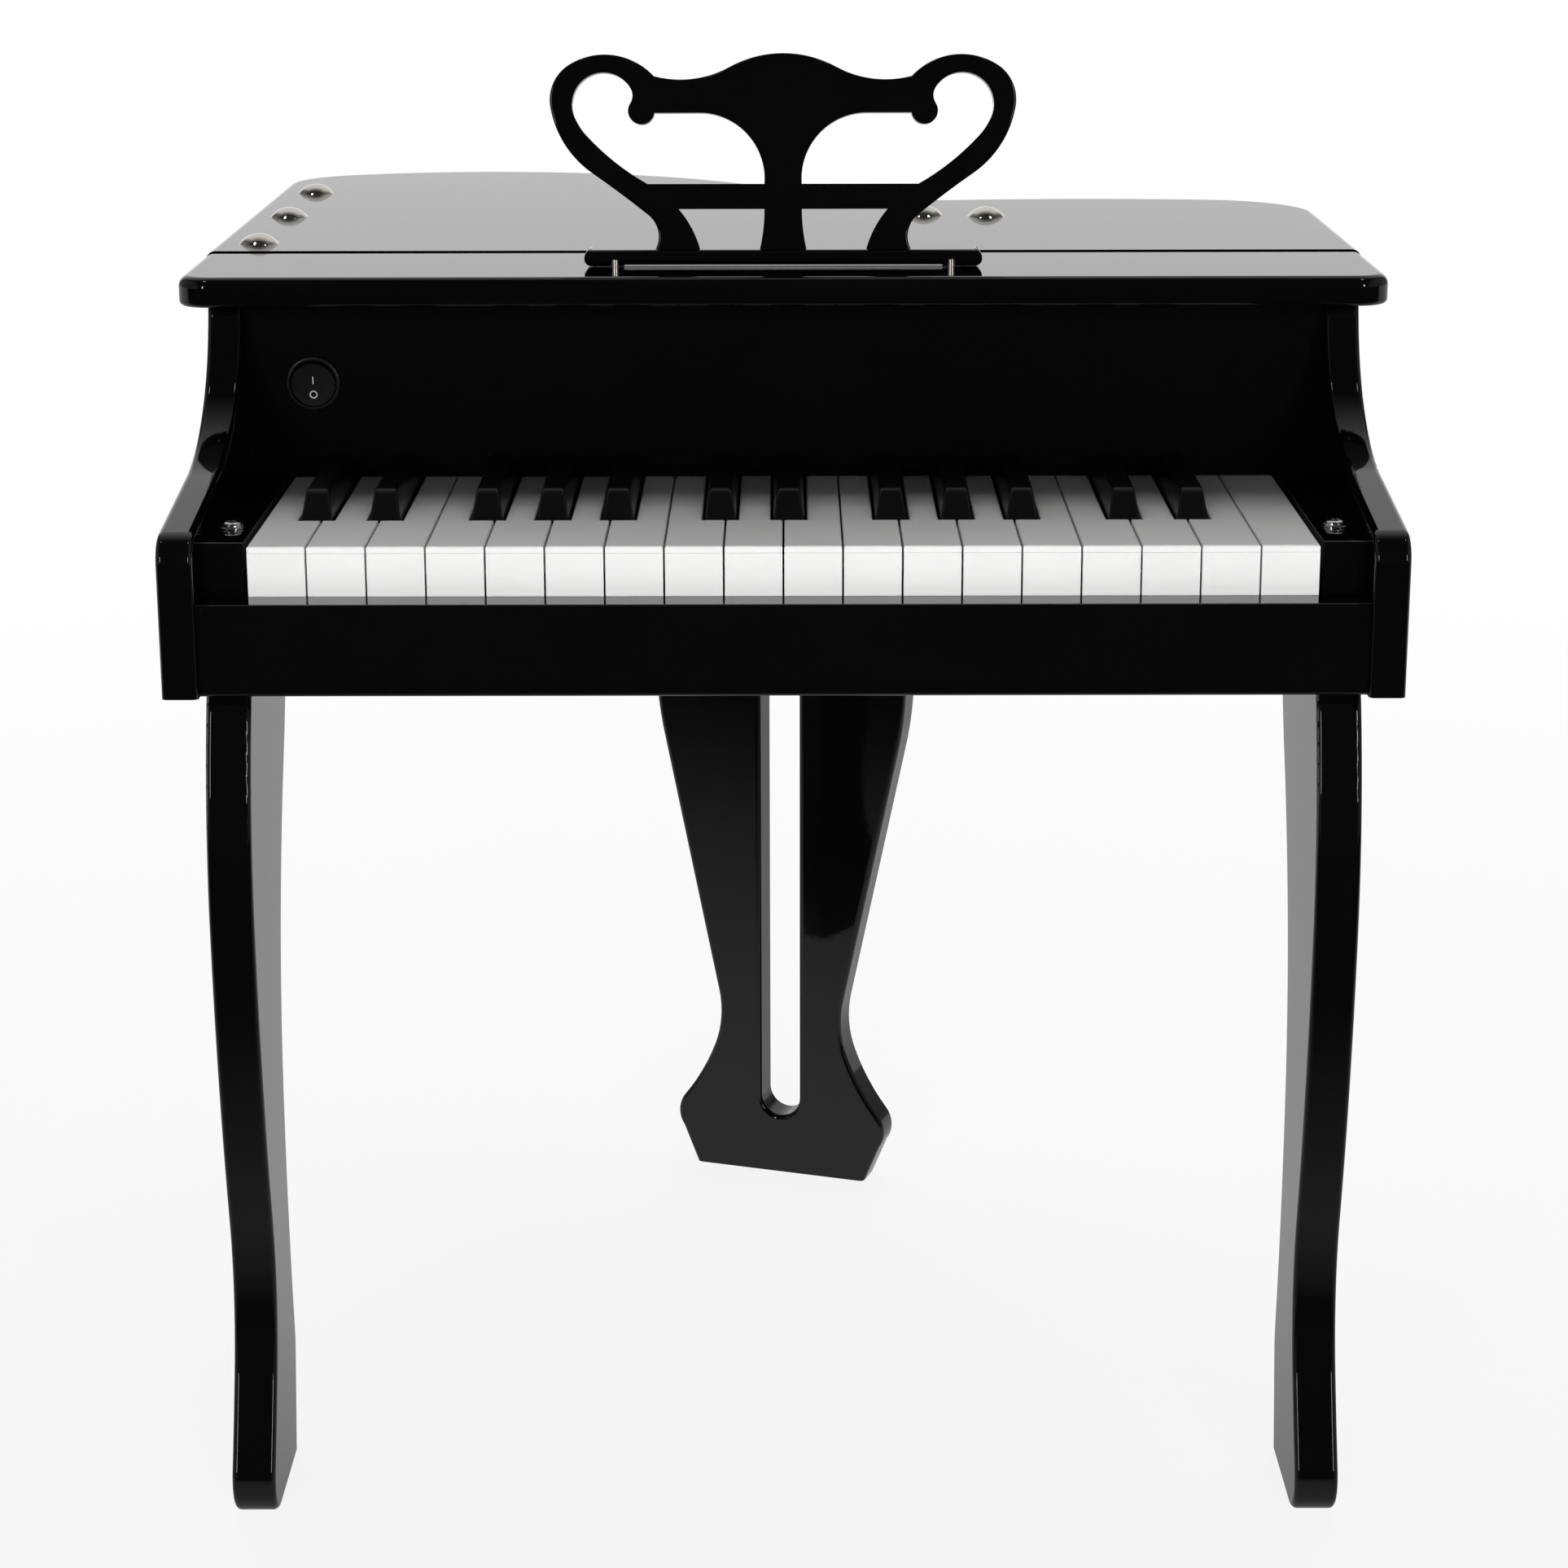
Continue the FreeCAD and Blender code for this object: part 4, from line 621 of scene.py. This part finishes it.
@dataclass(frozen=True)
class CrossScrew:
    """A pan head with a flange and a cross recess, and the start of its shank."""

    flange: float = 4.8 * MM
    rise: float = 2.4 * MM
    shank: float = 2.0 * MM
    run: float = 3.0 * MM
    recess_span: float = 4.6 * MM
    recess_width: float = 1.15 * MM
    recess_depth: float = 1.3 * MM
    recess_taper: float = 0.55
    recess_clear: float = 0.5 * MM
    sides: int = 40

    def profile(self) -> list[tuple[float, float]]:
        """The turned outline, from the shank's end to the crown."""
        r, h = self.flange, self.rise
        return [(0.0, -self.run), (0.8 * self.shank, -self.run), (self.shank, -0.85 * self.run),
                (self.shank, 0.0), (0.98 * r, 0.0), (r, 0.03 * h), (r, 0.18 * h), (0.97 * r, 0.25 * h),
                (0.86 * r, 0.30 * h), (0.80 * r, 0.34 * h), (0.79 * r, 0.55 * h), (0.755 * r, 0.72 * h),
                (0.67 * r, 0.86 * h), (0.53 * r, 0.95 * h), (0.33 * r, 0.99 * h), (0.0, h)]

    def pattern(self) -> bpy.types.Object:
        """Make the screw that the rows repeat.

        Returns:
            A screw standing on its seat at the origin.
        """
        turned = turned_shape(self.profile(), self.sides)
        head = add_object("screw_pattern", closed_mesh("screw_pattern", turned))
        half, width = self.recess_span / 2, self.recess_width / 2
        tools = [self.cutter("recess_cutter", half, width), self.cutter("recess_cutter_across", width, half)]
        for tool in tools:
            cut = head.modifiers.new("recess", "BOOLEAN")
            cut.operation = "DIFFERENCE"
            cut.solver = "EXACT"
            cut.object = tool
        settle(head)
        head.data.set_sharp_from_angle(angle=math.radians(CREASE))
        for tool in tools:
            bpy.data.objects.remove(tool)
        return head

    def cutter(self, name: str, half_x: float, half_y: float) -> bpy.types.Object:
        """Make the tool for one arm of the recess.

        Args:
            name: the tool's name.
            half_x: half its size across.
            half_y: half its size from front to back.

        Returns:
            A tapered bar in the screw's crown.
        """
        shape = bmesh.new()
        low, high = self.rise - self.recess_depth, self.rise + self.recess_clear
        box_shape(shape, (-half_x, -half_y, low), (half_x, half_y, high), self.recess_taper)
        return add_object(name, closed_mesh(name, shape))


@dataclass
class ScrewTree:
    """The Geometry Nodes tree that sets a screw on each point of a piece."""

    tree: bpy.types.NodeTree = field(init=False)
    inputs: dict[str, str] = field(default_factory=dict)

    def __post_init__(self) -> None:
        """Build the tree with its named inputs."""
        self.tree = bpy.data.node_groups.new("screws_on_points", "GeometryNodeTree")
        face = self.tree.interface
        face.new_socket(name="Geometry", in_out="INPUT", socket_type="NodeSocketGeometry")
        for name, kind in (("Screw", "NodeSocketObject"), ("Size", "NodeSocketFloat"),
                           ("Turn", "NodeSocketFloat"), ("Seed", "NodeSocketInt"),
                           ("Finish", "NodeSocketMaterial")):
            self.inputs[name] = face.new_socket(name=name, in_out="INPUT", socket_type=kind).identifier
        face.new_socket(name="Geometry", in_out="OUTPUT", socket_type="NodeSocketGeometry")
        graph = Graph(self.tree)
        entry = graph.add("NodeGroupInput")
        given = {socket.name: Shade(graph, socket) for socket in entry.socket.node.outputs}
        screw = graph.add("GeometryNodeObjectInfo", None, {"Object": given["Screw"]}, "Geometry")
        turn = graph.add("FunctionNodeRandomValue", {"data_type": "FLOAT"},
                         {2: 0.0, 3: given["Turn"], "Seed": given["Seed"]}, 1)
        angles = graph.add("ShaderNodeCombineXYZ", None, {"Z": turn})
        rotation = graph.add("FunctionNodeEulerToRotation", None, {0: angles})
        placed = graph.add("GeometryNodeInstanceOnPoints", None, {
            "Points": given["Geometry"], "Instance": screw, "Rotation": rotation, "Scale": given["Size"]})
        solid = graph.add("GeometryNodeRealizeInstances", None, {"Geometry": placed})
        dressed = graph.add("GeometryNodeSetMaterial", None, {"Geometry": solid, "Material": given["Finish"]})
        graph.add("NodeGroupOutput", None, {"Geometry": dressed})


@dataclass
class Screws:
    """Every visible screw: those in the key blocks, and the small ones inside the case."""

    frame: Frame
    block_x: float = 221.0 * MM
    block_y: float = -224.8 * MM
    block_top: float = 409.5 * MM
    block_size: float = 1.15
    block_seed: int = 4
    speaker_ring: float = 34.6 * MM
    speaker_seed: int = 7
    box_in: float = 2.4 * MM
    box_seed: int = 9
    small: float = 0.52

    def build(self) -> None:
        """Set all screws on their seats."""
        pattern = CrossScrew().pattern()
        tree = ScrewTree()
        blocks = self.row("key_block_cross_screws", tree, pattern, self.block_size, self.block_seed,
                          self.block_places())
        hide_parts("key_block_screws")
        self.row("speaker_screws", tree, pattern, self.small, self.speaker_seed, self.speaker_places())
        self.row("battery_box_screws", tree, pattern, self.small, self.box_seed, self.box_places())
        bpy.data.objects.remove(pattern)

    def block_places(self) -> list[Point]:
        """One screw in each key block."""
        return [(side * self.block_x, self.block_y, self.block_top) for side in (-1, 1)]

    def speaker_places(self) -> list[Point]:
        """Four screws round the speaker's flange."""
        low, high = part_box("speaker")
        middle = (low + high) / 2
        places = []
        for quarter in range(4):
            turn = math.radians(45.0 + 90.0 * quarter)
            x = middle.x + self.speaker_ring * math.cos(turn)
            y = middle.y + self.speaker_ring * math.sin(turn)
            places.append((x, y, self.frame.top_at("speaker", x, y)))
        return places

    def box_places(self) -> list[Point]:
        """Four screws in the corners of the battery box's flange."""
        low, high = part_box("battery_box")
        places = []
        for x in (low.x + self.box_in, high.x - self.box_in):
            for y in (low.y + self.box_in, high.y - self.box_in):
                places.append((x, y, self.frame.top_at("battery_box", x, y)))
        return places

    def row(self, name: str, tree: ScrewTree, pattern: bpy.types.Object, size: float, seed: int,
            places: Sequence[Point]) -> bpy.types.Object:
        """Make one set of screws.

        Args:
            name: the piece's name.
            tree: the tree that places them.
            pattern: the screw.
            size: the screw's size against the pattern.
            seed: which turns the heads were left at.
            places: where they are seated.

        Returns:
            The screws as one plain mesh.
        """
        points = bpy.data.meshes.new(name)
        points.from_pydata(places, [], [])
        piece = add_object(name, points)
        modifier = piece.modifiers.new("screws", "NODES")
        modifier.node_group = tree.tree
        given = {"Screw": pattern, "Size": size, "Turn": math.tau, "Seed": seed,
                 "Finish": self.frame.finishes[Slot.ZINC]}
        for label, value in given.items():
            modifier[tree.inputs[label]] = value
        settle(piece)
        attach(piece, "case")
        log.info("made %s: %d screws", name, len(places))
        return piece


@dataclass
class Switch:
    """The round power switch: its dress, and the two marks printed on the rocker."""

    frame: Frame
    middle_x: float = -201.0 * MM
    middle_z: float = 449.7 * MM
    line_up: float = 1.4 * MM
    line_tall: float = 3.2 * MM
    line_wide: float = 0.5 * MM
    ring_down: float = -4.8 * MM
    ring_wide: float = 3.4 * MM
    stroke: float = 0.5 * MM
    film: float = 0.03 * MM
    sunk_share: float = 0.3
    sight_y: float = -200.0 * MM
    line_steps: int = 12
    ring_steps: int = 48

    def build(self) -> None:
        """Dress the switch and print its marks."""
        self.frame.dress(Slot.MOULDED, ("power_switch", "switch_rocker"))
        shape = bmesh.new()
        self.add_line(shape)
        self.add_ring(shape)
        piece = add_object("rocker_marks", closed_mesh("rocker_marks", shape))
        piece.data.materials.append(MARK_PAINT.material())
        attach(piece, "rocker")
        log.info("made rocker_marks")

    def on_face(self, x: float, z: float) -> tuple[Vector, Vector]:
        """Find a mark's point on the rocker's dished face.

        Args:
            x: place across from the switch's middle, in metres.
            z: place up from the switch's middle, in metres.

        Returns:
            The point just under the face, and the one a film's thickness before it.
        """
        start = Vector((self.middle_x + x, self.sight_y, self.middle_z + z))
        hit = self.frame.surface("switch_rocker").ray_cast(start, Vector((0.0, 1.0, 0.0)))[0]
        ahead = Vector((0.0, self.film, 0.0))
        return hit + ahead * self.sunk_share, hit - ahead

    def add_strip(self, shape: bmesh.types.BMesh, rows: Sequence[tuple[tuple[float, float], ...]],
                  ring: bool) -> None:
        """Add a printed strip as a thin closed film.

        Args:
            shape: the shape it goes into.
            rows: pairs of (across, up) places, the strip's two sides at each step.
            ring: whether the last step joins the first.
        """
        made = []
        for pair in rows:
            made.append([shape.verts.new(point) for x, z in pair for point in self.on_face(x, z)])
        steps = list(zip(made, made[1:] + made[:1])) if ring else list(zip(made, made[1:]))
        for first, second in steps:
            for a, b in ((0, 1), (1, 3), (3, 2), (2, 0)):
                shape.faces.new((first[a], first[b], second[b], second[a]))
        if not ring:
            for end in (made[0], made[-1]):
                shape.faces.new((end[0], end[1], end[3], end[2]))

    def add_line(self, shape: bmesh.types.BMesh) -> None:
        """Add the upright line of the on mark."""
        half = self.line_wide / 2
        shares = [i / self.line_steps - 0.5 for i in range(self.line_steps + 1)]
        rises = [self.line_up + self.line_tall * share for share in shares]
        self.add_strip(shape, [((-half, z), (half, z)) for z in rises], False)

    def add_ring(self, shape: bmesh.types.BMesh) -> None:
        """Add the ring of the off mark."""
        outer = self.ring_wide / 2
        rows = []
        for i in range(self.ring_steps):
            turn = math.tau * i / self.ring_steps
            rows.append(tuple((radius * math.cos(turn), self.ring_down + radius * math.sin(turn))
                              for radius in (outer - self.stroke, outer)))
        self.add_strip(shape, rows, True)


@dataclass
class RibTree:
    """The Geometry Nodes tree that sets out a row of equal ribs."""

    tree: bpy.types.NodeTree = field(init=False)
    inputs: dict[str, str] = field(default_factory=dict)

    def __post_init__(self) -> None:
        """Build the tree with its named inputs."""
        self.tree = bpy.data.node_groups.new("row_of_ribs", "GeometryNodeTree")
        face = self.tree.interface
        for name, kind in (("Rib", "NodeSocketObject"), ("Count", "NodeSocketInt"),
                           ("Start", "NodeSocketVector"), ("Pitch", "NodeSocketVector"),
                           ("Finish", "NodeSocketMaterial")):
            self.inputs[name] = face.new_socket(name=name, in_out="INPUT", socket_type=kind).identifier
        face.new_socket(name="Geometry", in_out="OUTPUT", socket_type="NodeSocketGeometry")
        graph = Graph(self.tree)
        entry = graph.add("NodeGroupInput")
        given = {socket.name: Shade(graph, socket) for socket in entry.socket.node.outputs}
        rib = graph.add("GeometryNodeObjectInfo", None, {"Object": given["Rib"]}, "Geometry")
        line = graph.add("GeometryNodeMeshLine", {"mode": "OFFSET"}, {
            "Count": given["Count"], "Start Location": given["Start"], "Offset": given["Pitch"]})
        placed = graph.add("GeometryNodeInstanceOnPoints", None, {"Points": line, "Instance": rib})
        solid = graph.add("GeometryNodeRealizeInstances", None, {"Geometry": placed})
        dressed = graph.add("GeometryNodeSetMaterial", None, {"Geometry": solid, "Material": given["Finish"]})
        graph.add("NodeGroupOutput", None, {"Geometry": dressed})


@dataclass
class BatteryBay:
    """The battery box in the floor and its door, with finger ribs under the door."""

    frame: Frame
    rib_run: float = 24.0 * MM
    rib_wide: float = 1.0 * MM
    rib_rise: float = 0.7 * MM
    rib_sunk: float = 0.02 * MM
    rib_taper: float = 0.8
    rib_round: float = 0.2 * MM
    count: int = 7
    pitch: float = 2.4 * MM
    front_gap: float = 8.0 * MM

    def build(self) -> None:
        """Dress the bay and set out the door's ribs."""
        self.frame.dress(Slot.MOULDED, ("battery_box", "battery_door"))
        shape = bmesh.new()
        half, wide = self.rib_run / 2, self.rib_wide / 2
        box_shape(shape, (-half, -wide, -self.rib_rise), (half, wide, self.rib_sunk), self.rib_taper)
        bmesh.ops.bevel(shape, geom=list(shape.edges), offset=self.rib_round, segments=2, affect="EDGES")
        rib = add_object("rib_pattern", closed_mesh("rib_pattern", shape))
        low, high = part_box("battery_door")
        piece = add_object("door_grip_ribs", bpy.data.meshes.new("door_grip_ribs"))
        tree = RibTree()
        modifier = piece.modifiers.new("ribs", "NODES")
        modifier.node_group = tree.tree
        start = ((low.x + high.x) / 2, low.y + self.front_gap, low.z)
        given = {"Rib": rib, "Count": self.count, "Start": start, "Pitch": (0.0, self.pitch, 0.0),
                 "Finish": self.frame.finishes[Slot.MOULDED]}
        for label, value in given.items():
            modifier[tree.inputs[label]] = value
        settle(piece)
        bpy.data.objects.remove(rib)
        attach(piece, "door")
        log.info("made door_grip_ribs: %d ribs", self.count)


@dataclass
class Casework:
    """The lacquered case, lid, legs and stand."""

    frame: Frame
    lacquered: tuple[str, ...] = ("left_side_panel", "right_side_panel", "bent_rim", "key_slip",
                                  "lid_front_strip", "main_lid", "music_stand", "front_leg_left",
                                  "front_leg_right", "rear_leg", "prop_stick")
    plain: tuple[str, ...] = ("bottom_board", "key_blocks")
    crease: float = 32.0
    level: float = 0.1
    broad: float = 1.5e-4
    # The layer and the value by which the Weighted Normal modifier knows a face that leads.
    lead_layer: str = "__mod_weightednormals_faceweight"
    leading: int = 16384

    def build(self) -> None:
        """Lacquer the wooden pieces, and paint the fallboard matte."""
        self.frame.dress(Slot.LACQUER, self.plain)
        for name in self.lacquered:
            self.polish(name)
        self.frame.nodes["fallboard"].material_slots[0].material = FALLBOARD_PAINT.material()
        log.info("dressed fallboard in %s", FALLBOARD_PAINT.name)

    def polish(self, name: str) -> None:
        """Make a board's polished skin, whose shine runs on over its rounded edges without a break.

        Triangles of one flat are merged, and broad flats lead the shine of the roundings beside them.

        Args:
            name: the board that it stands for.
        """
        node = self.frame.nodes[name]
        shape = bmesh.new()
        shape.from_mesh(node.data)
        bmesh.ops.remove_doubles(shape, verts=shape.verts, dist=WELD)
        bmesh.ops.dissolve_limit(shape, angle_limit=math.radians(self.level), use_dissolve_boundaries=False,
                                 verts=shape.verts, edges=shape.edges)
        lead = shape.faces.layers.int.new(self.lead_layer)
        for face in shape.faces:
            face[lead] = self.leading if face.calc_area() > self.broad else 0
        mesh = closed_mesh(f"{name}_polished", shape, self.crease)
        if "custom_normal" in mesh.attributes:
            mesh.attributes.remove(mesh.attributes["custom_normal"])
        mesh.materials.clear()
        mesh.materials.append(self.frame.finishes[Slot.LACQUER])
        piece = add_object(f"{name}_polished", mesh)
        even = piece.modifiers.new("even_shine", "WEIGHTED_NORMAL")
        even.keep_sharp = True
        even.use_face_influence = True
        settle(piece)
        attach(piece, node["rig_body"])
        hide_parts(name)
        log.info("made %s_polished", name)


@dataclass
class Hardware:
    """Chrome domes and pins, the long hinge, the prop bracket and the hidden bolts."""

    frame: Frame

    def dress(self) -> None:
        """Plate each metal piece."""
        self.frame.dress(Slot.CHROME, ("lid_bolts", "stand_pins"))
        self.frame.dress(Slot.HINGE, ("hinge_case_leaf", "hinge_lid_leaf", "prop_bracket"))
        self.frame.dress(Slot.ZINC, ("leg_bolts", "key_pivot_rod", "key_block_screws"))


@dataclass
class Action:
    """The keys and what lies under them."""

    frame: Frame

    def dress(self) -> None:
        """Give the keys and the works their plastics, board and rubber."""
        self.frame.dress(Slot.WHITE_KEY, self.frame.named("white_key_"))
        self.frame.dress(Slot.BLACK_KEY, self.frame.named("black_key_"))
        self.frame.dress(Slot.CHASSIS, ("key_frame",))
        self.frame.dress(Slot.BOARD, ("contact_board",))
        self.frame.dress(Slot.RUBBER, ("contact_strip",))
        self.frame.dress(Slot.SPEAKER, ("speaker",))


@dataclass(frozen=True)
class SoftBox:
    """One soft box: where it hangs, its size and power, and whether it is there for mirrors alone."""

    name: str
    at: Point
    size: tuple[float, float]
    power: float
    mirrored: bool

    def hang(self, aim: Point) -> None:
        """Hang the box: it is either seen in mirrors alone, or lights what isn't a mirror.

        Args:
            aim: the point that it is turned to, in metres.
        """
        light = bpy.data.lights.new(self.name, "AREA")
        light.shape = "RECTANGLE"
        light.size, light.size_y = self.size
        light.energy = self.power
        lamp = bpy.data.objects.new(self.name, light)
        bpy.context.scene.collection.objects.link(lamp)
        lamp.location = self.at
        lamp.rotation_euler = (Vector(aim) - Vector(self.at)).to_track_quat("-Z", "Y").to_euler()
        lamp.visible_camera = False
        lamp.visible_diffuse = not self.mirrored
        lamp.visible_glossy = self.mirrored
        log.info("hung %s", self.name)


SOFT_BOXES = (
    SoftBox("strip_box_left", (-1.12, -1.95, 0.94), (0.12, 0.68), 4.8, True),
    SoftBox("glint_box_left", (-1.00, -0.45, 3.30), (0.32, 0.32), 2.0, True),
    SoftBox("strip_box_right", (1.12, -1.95, 0.94), (0.12, 0.68), 4.8, True),
    SoftBox("glint_box_right", (1.00, -0.45, 3.30), (0.32, 0.32), 2.0, True),
    SoftBox("front_fill_box", (0.0, -2.1, 0.55), (2.0, 0.5), 42.0, False),
    SoftBox("back_box", (0.0, 1.4, 2.2), (2.4, 1.6), 38.0, False),
    SoftBox("top_box", (0.0, 0.35, 2.2), (2.4, 0.5), 6.7, False),
)


@dataclass
class Studio:
    """The pale floor, the soft lamps, the white surroundings and the camera."""

    floor_half: float = 6.0
    paper: tuple[float, float] = (0.88, 0.91)
    paper_grain: float = 3.0
    shadow_span: tuple[float, float] = (0.55, 1.7)
    shadow_share: float = 0.13
    floor_span: tuple[float, float] = (-0.75, 0.1)
    floor_mirror: tuple[float, float] = (0.02, 0.56)
    ambient: float = 0.02
    white: float = 0.90
    room: tuple[float, float] = (0.03, 0.22)
    back_span: tuple[float, float] = (-0.06, 0.62)
    middle_span: tuple[float, float] = (0.16, 0.42)
    side_span: tuple[float, float] = (0.28, 0.58)
    rise_span: tuple[float, float] = (0.2, 0.5)
    zenith: float = 0.72
    aim: Point = (0.0, -0.1, 0.35)
    camera_at: Point = (0.0016, -1.6350, 0.6994)
    pitch: float = 0.2744
    yaw: float = -0.0011
    roll: float = -0.0019
    lens: float = 82.24
    sensor: float = 36.0
    reach: float = 50.0

    def build(self) -> None:
        """Set up the floor, the lamps, the world and the camera."""
        self.floor()
        for box in SOFT_BOXES:
            box.hang(self.aim)
        self.world()
        self.camera()
        bpy.context.scene.view_settings.view_transform = "Standard"

    def floor(self) -> None:
        """Lay the floor: white to look at and in mirrors behind the piano, dark in mirrors before it."""
        shape = bmesh.new()
        half = self.floor_half
        ends = ((-half, -half), (half, -half), (half, half), (-half, half))
        shape.faces.new([shape.verts.new((x, y, 0.0)) for x, y in ends])
        mesh = bpy.data.meshes.new("studio_floor")
        shape.to_mesh(mesh)
        shape.free()
        made = bpy.data.materials.new("studio_floor_white")
        made.use_nodes = True
        made.node_tree.nodes.clear()
        graph = Graph(made.node_tree)
        path = {name: graph.add("ShaderNodeLightPath", out=name)
                for name in ("Is Camera Ray", "Is Glossy Ray")}
        sheen = graph.tint(graph.noise(self.paper_grain), *map(grey, self.paper))
        paper = graph.add("ShaderNodeBsdfDiffuse", None, {"Color": sheen})
        lit = graph.add("ShaderNodeEmission", None, {"Color": grey(1.0), "Strength": 1.0})
        away = graph.add("ShaderNodeVectorMath", {"operation": "LENGTH"}, {0: graph.place()}, "Value")
        clear = graph.eased(away, self.shadow_span, 1.0 - self.shadow_share, 1.0)
        seen = graph.add("ShaderNodeMixShader", None, {0: path["Is Camera Ray"] * clear, 1: paper, 2: lit})
        fade = graph.eased(graph.axis(graph.place(), "Y"), self.floor_span)
        mirror = graph.add("ShaderNodeEmission", None, {
            "Color": graph.tint(fade, *map(grey, self.floor_mirror)), "Strength": 1.0})
        whole = graph.add("ShaderNodeMixShader", None, {0: path["Is Glossy Ray"], 1: seen, 2: mirror})
        graph.add("ShaderNodeOutputMaterial", None, {"Surface": whole})
        mesh.materials.append(made)
        add_object("studio_floor", mesh)

    def world(self) -> None:
        """Make the surroundings: white to look at, white in mirrors behind the piano and dark before it."""
        world = bpy.data.worlds.new("studio_surroundings")
        bpy.context.scene.world = world
        world.use_nodes = True
        world.node_tree.nodes.clear()
        graph = Graph(world.node_tree)
        path = {name: graph.add("ShaderNodeLightPath", out=name)
                for name in ("Is Camera Ray", "Is Glossy Ray", "Is Transmission Ray")}
        way = graph.add("ShaderNodeTexCoord", out="Generated")
        squared = graph.axis(way, "X") * graph.axis(way, "X")
        back = graph.eased(graph.axis(way, "Y"), self.back_span)
        middle = graph.eased(squared, self.middle_span, 1.0, 0.0)
        low = graph.eased(graph.axis(way, "Z"), self.rise_span, 1.0, self.zenith)
        room = graph.tint(graph.eased(squared, self.side_span), *map(grey, self.room))
        mirror = graph.add("ShaderNodeBackground", None, {
            "Color": graph.tint(back * middle * low, room, grey(self.white)), "Strength": 1.0})
        soft = graph.add("ShaderNodeBackground", None, {"Color": grey(1.0), "Strength": self.ambient})
        white = graph.add("ShaderNodeBackground", None, {"Color": grey(1.0), "Strength": 1.0})
        mirrors = graph.add("ShaderNodeMixShader", None, {
            0: path["Is Glossy Ray"] + path["Is Transmission Ray"], 1: soft, 2: mirror})
        whole = graph.add("ShaderNodeMixShader", None, {0: path["Is Camera Ray"], 1: mirrors, 2: white})
        graph.add("ShaderNodeOutputWorld", None, {"Surface": whole})

    def camera(self) -> None:
        """Stand the camera where the photograph was taken from."""
        data = bpy.data.cameras.new("photo_camera")
        data.lens = self.lens
        data.sensor_width = self.sensor
        data.sensor_fit = "HORIZONTAL"
        data.clip_end = self.reach
        camera = bpy.data.objects.new("photo_camera", data)
        bpy.context.scene.collection.objects.link(camera)
        level = Vector((math.sin(self.yaw), math.cos(self.yaw), 0.0))
        right = Vector((math.cos(self.yaw), -math.sin(self.yaw), 0.0))
        up = Vector((0.0, 0.0, 1.0))
        ahead = level * math.cos(self.pitch) - up * math.sin(self.pitch)
        above = up * math.cos(self.pitch) + level * math.sin(self.pitch)
        across = right * math.cos(self.roll) + above * math.sin(self.roll)
        upright = above * math.cos(self.roll) - right * math.sin(self.roll)
        turn = Matrix((across, upright, -ahead)).transposed().to_4x4()
        camera.matrix_world = Matrix.Translation(Vector(self.camera_at)) @ turn
        bpy.context.scene.camera = camera


def main() -> None:
    """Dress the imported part, add the small pieces, and set up the studio."""
    logging.basicConfig(level=logging.INFO, format="%(name)s: %(message)s")
    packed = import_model()
    frame = Frame(packed["nodes"])
    Casework(frame).build()
    Hardware(frame).dress()
    Action(frame).dress()
    Switch(frame).build()
    BatteryBay(frame).build()
    Screws(frame).build()
    Studio().build()


if __name__ == "__main__":
    main()
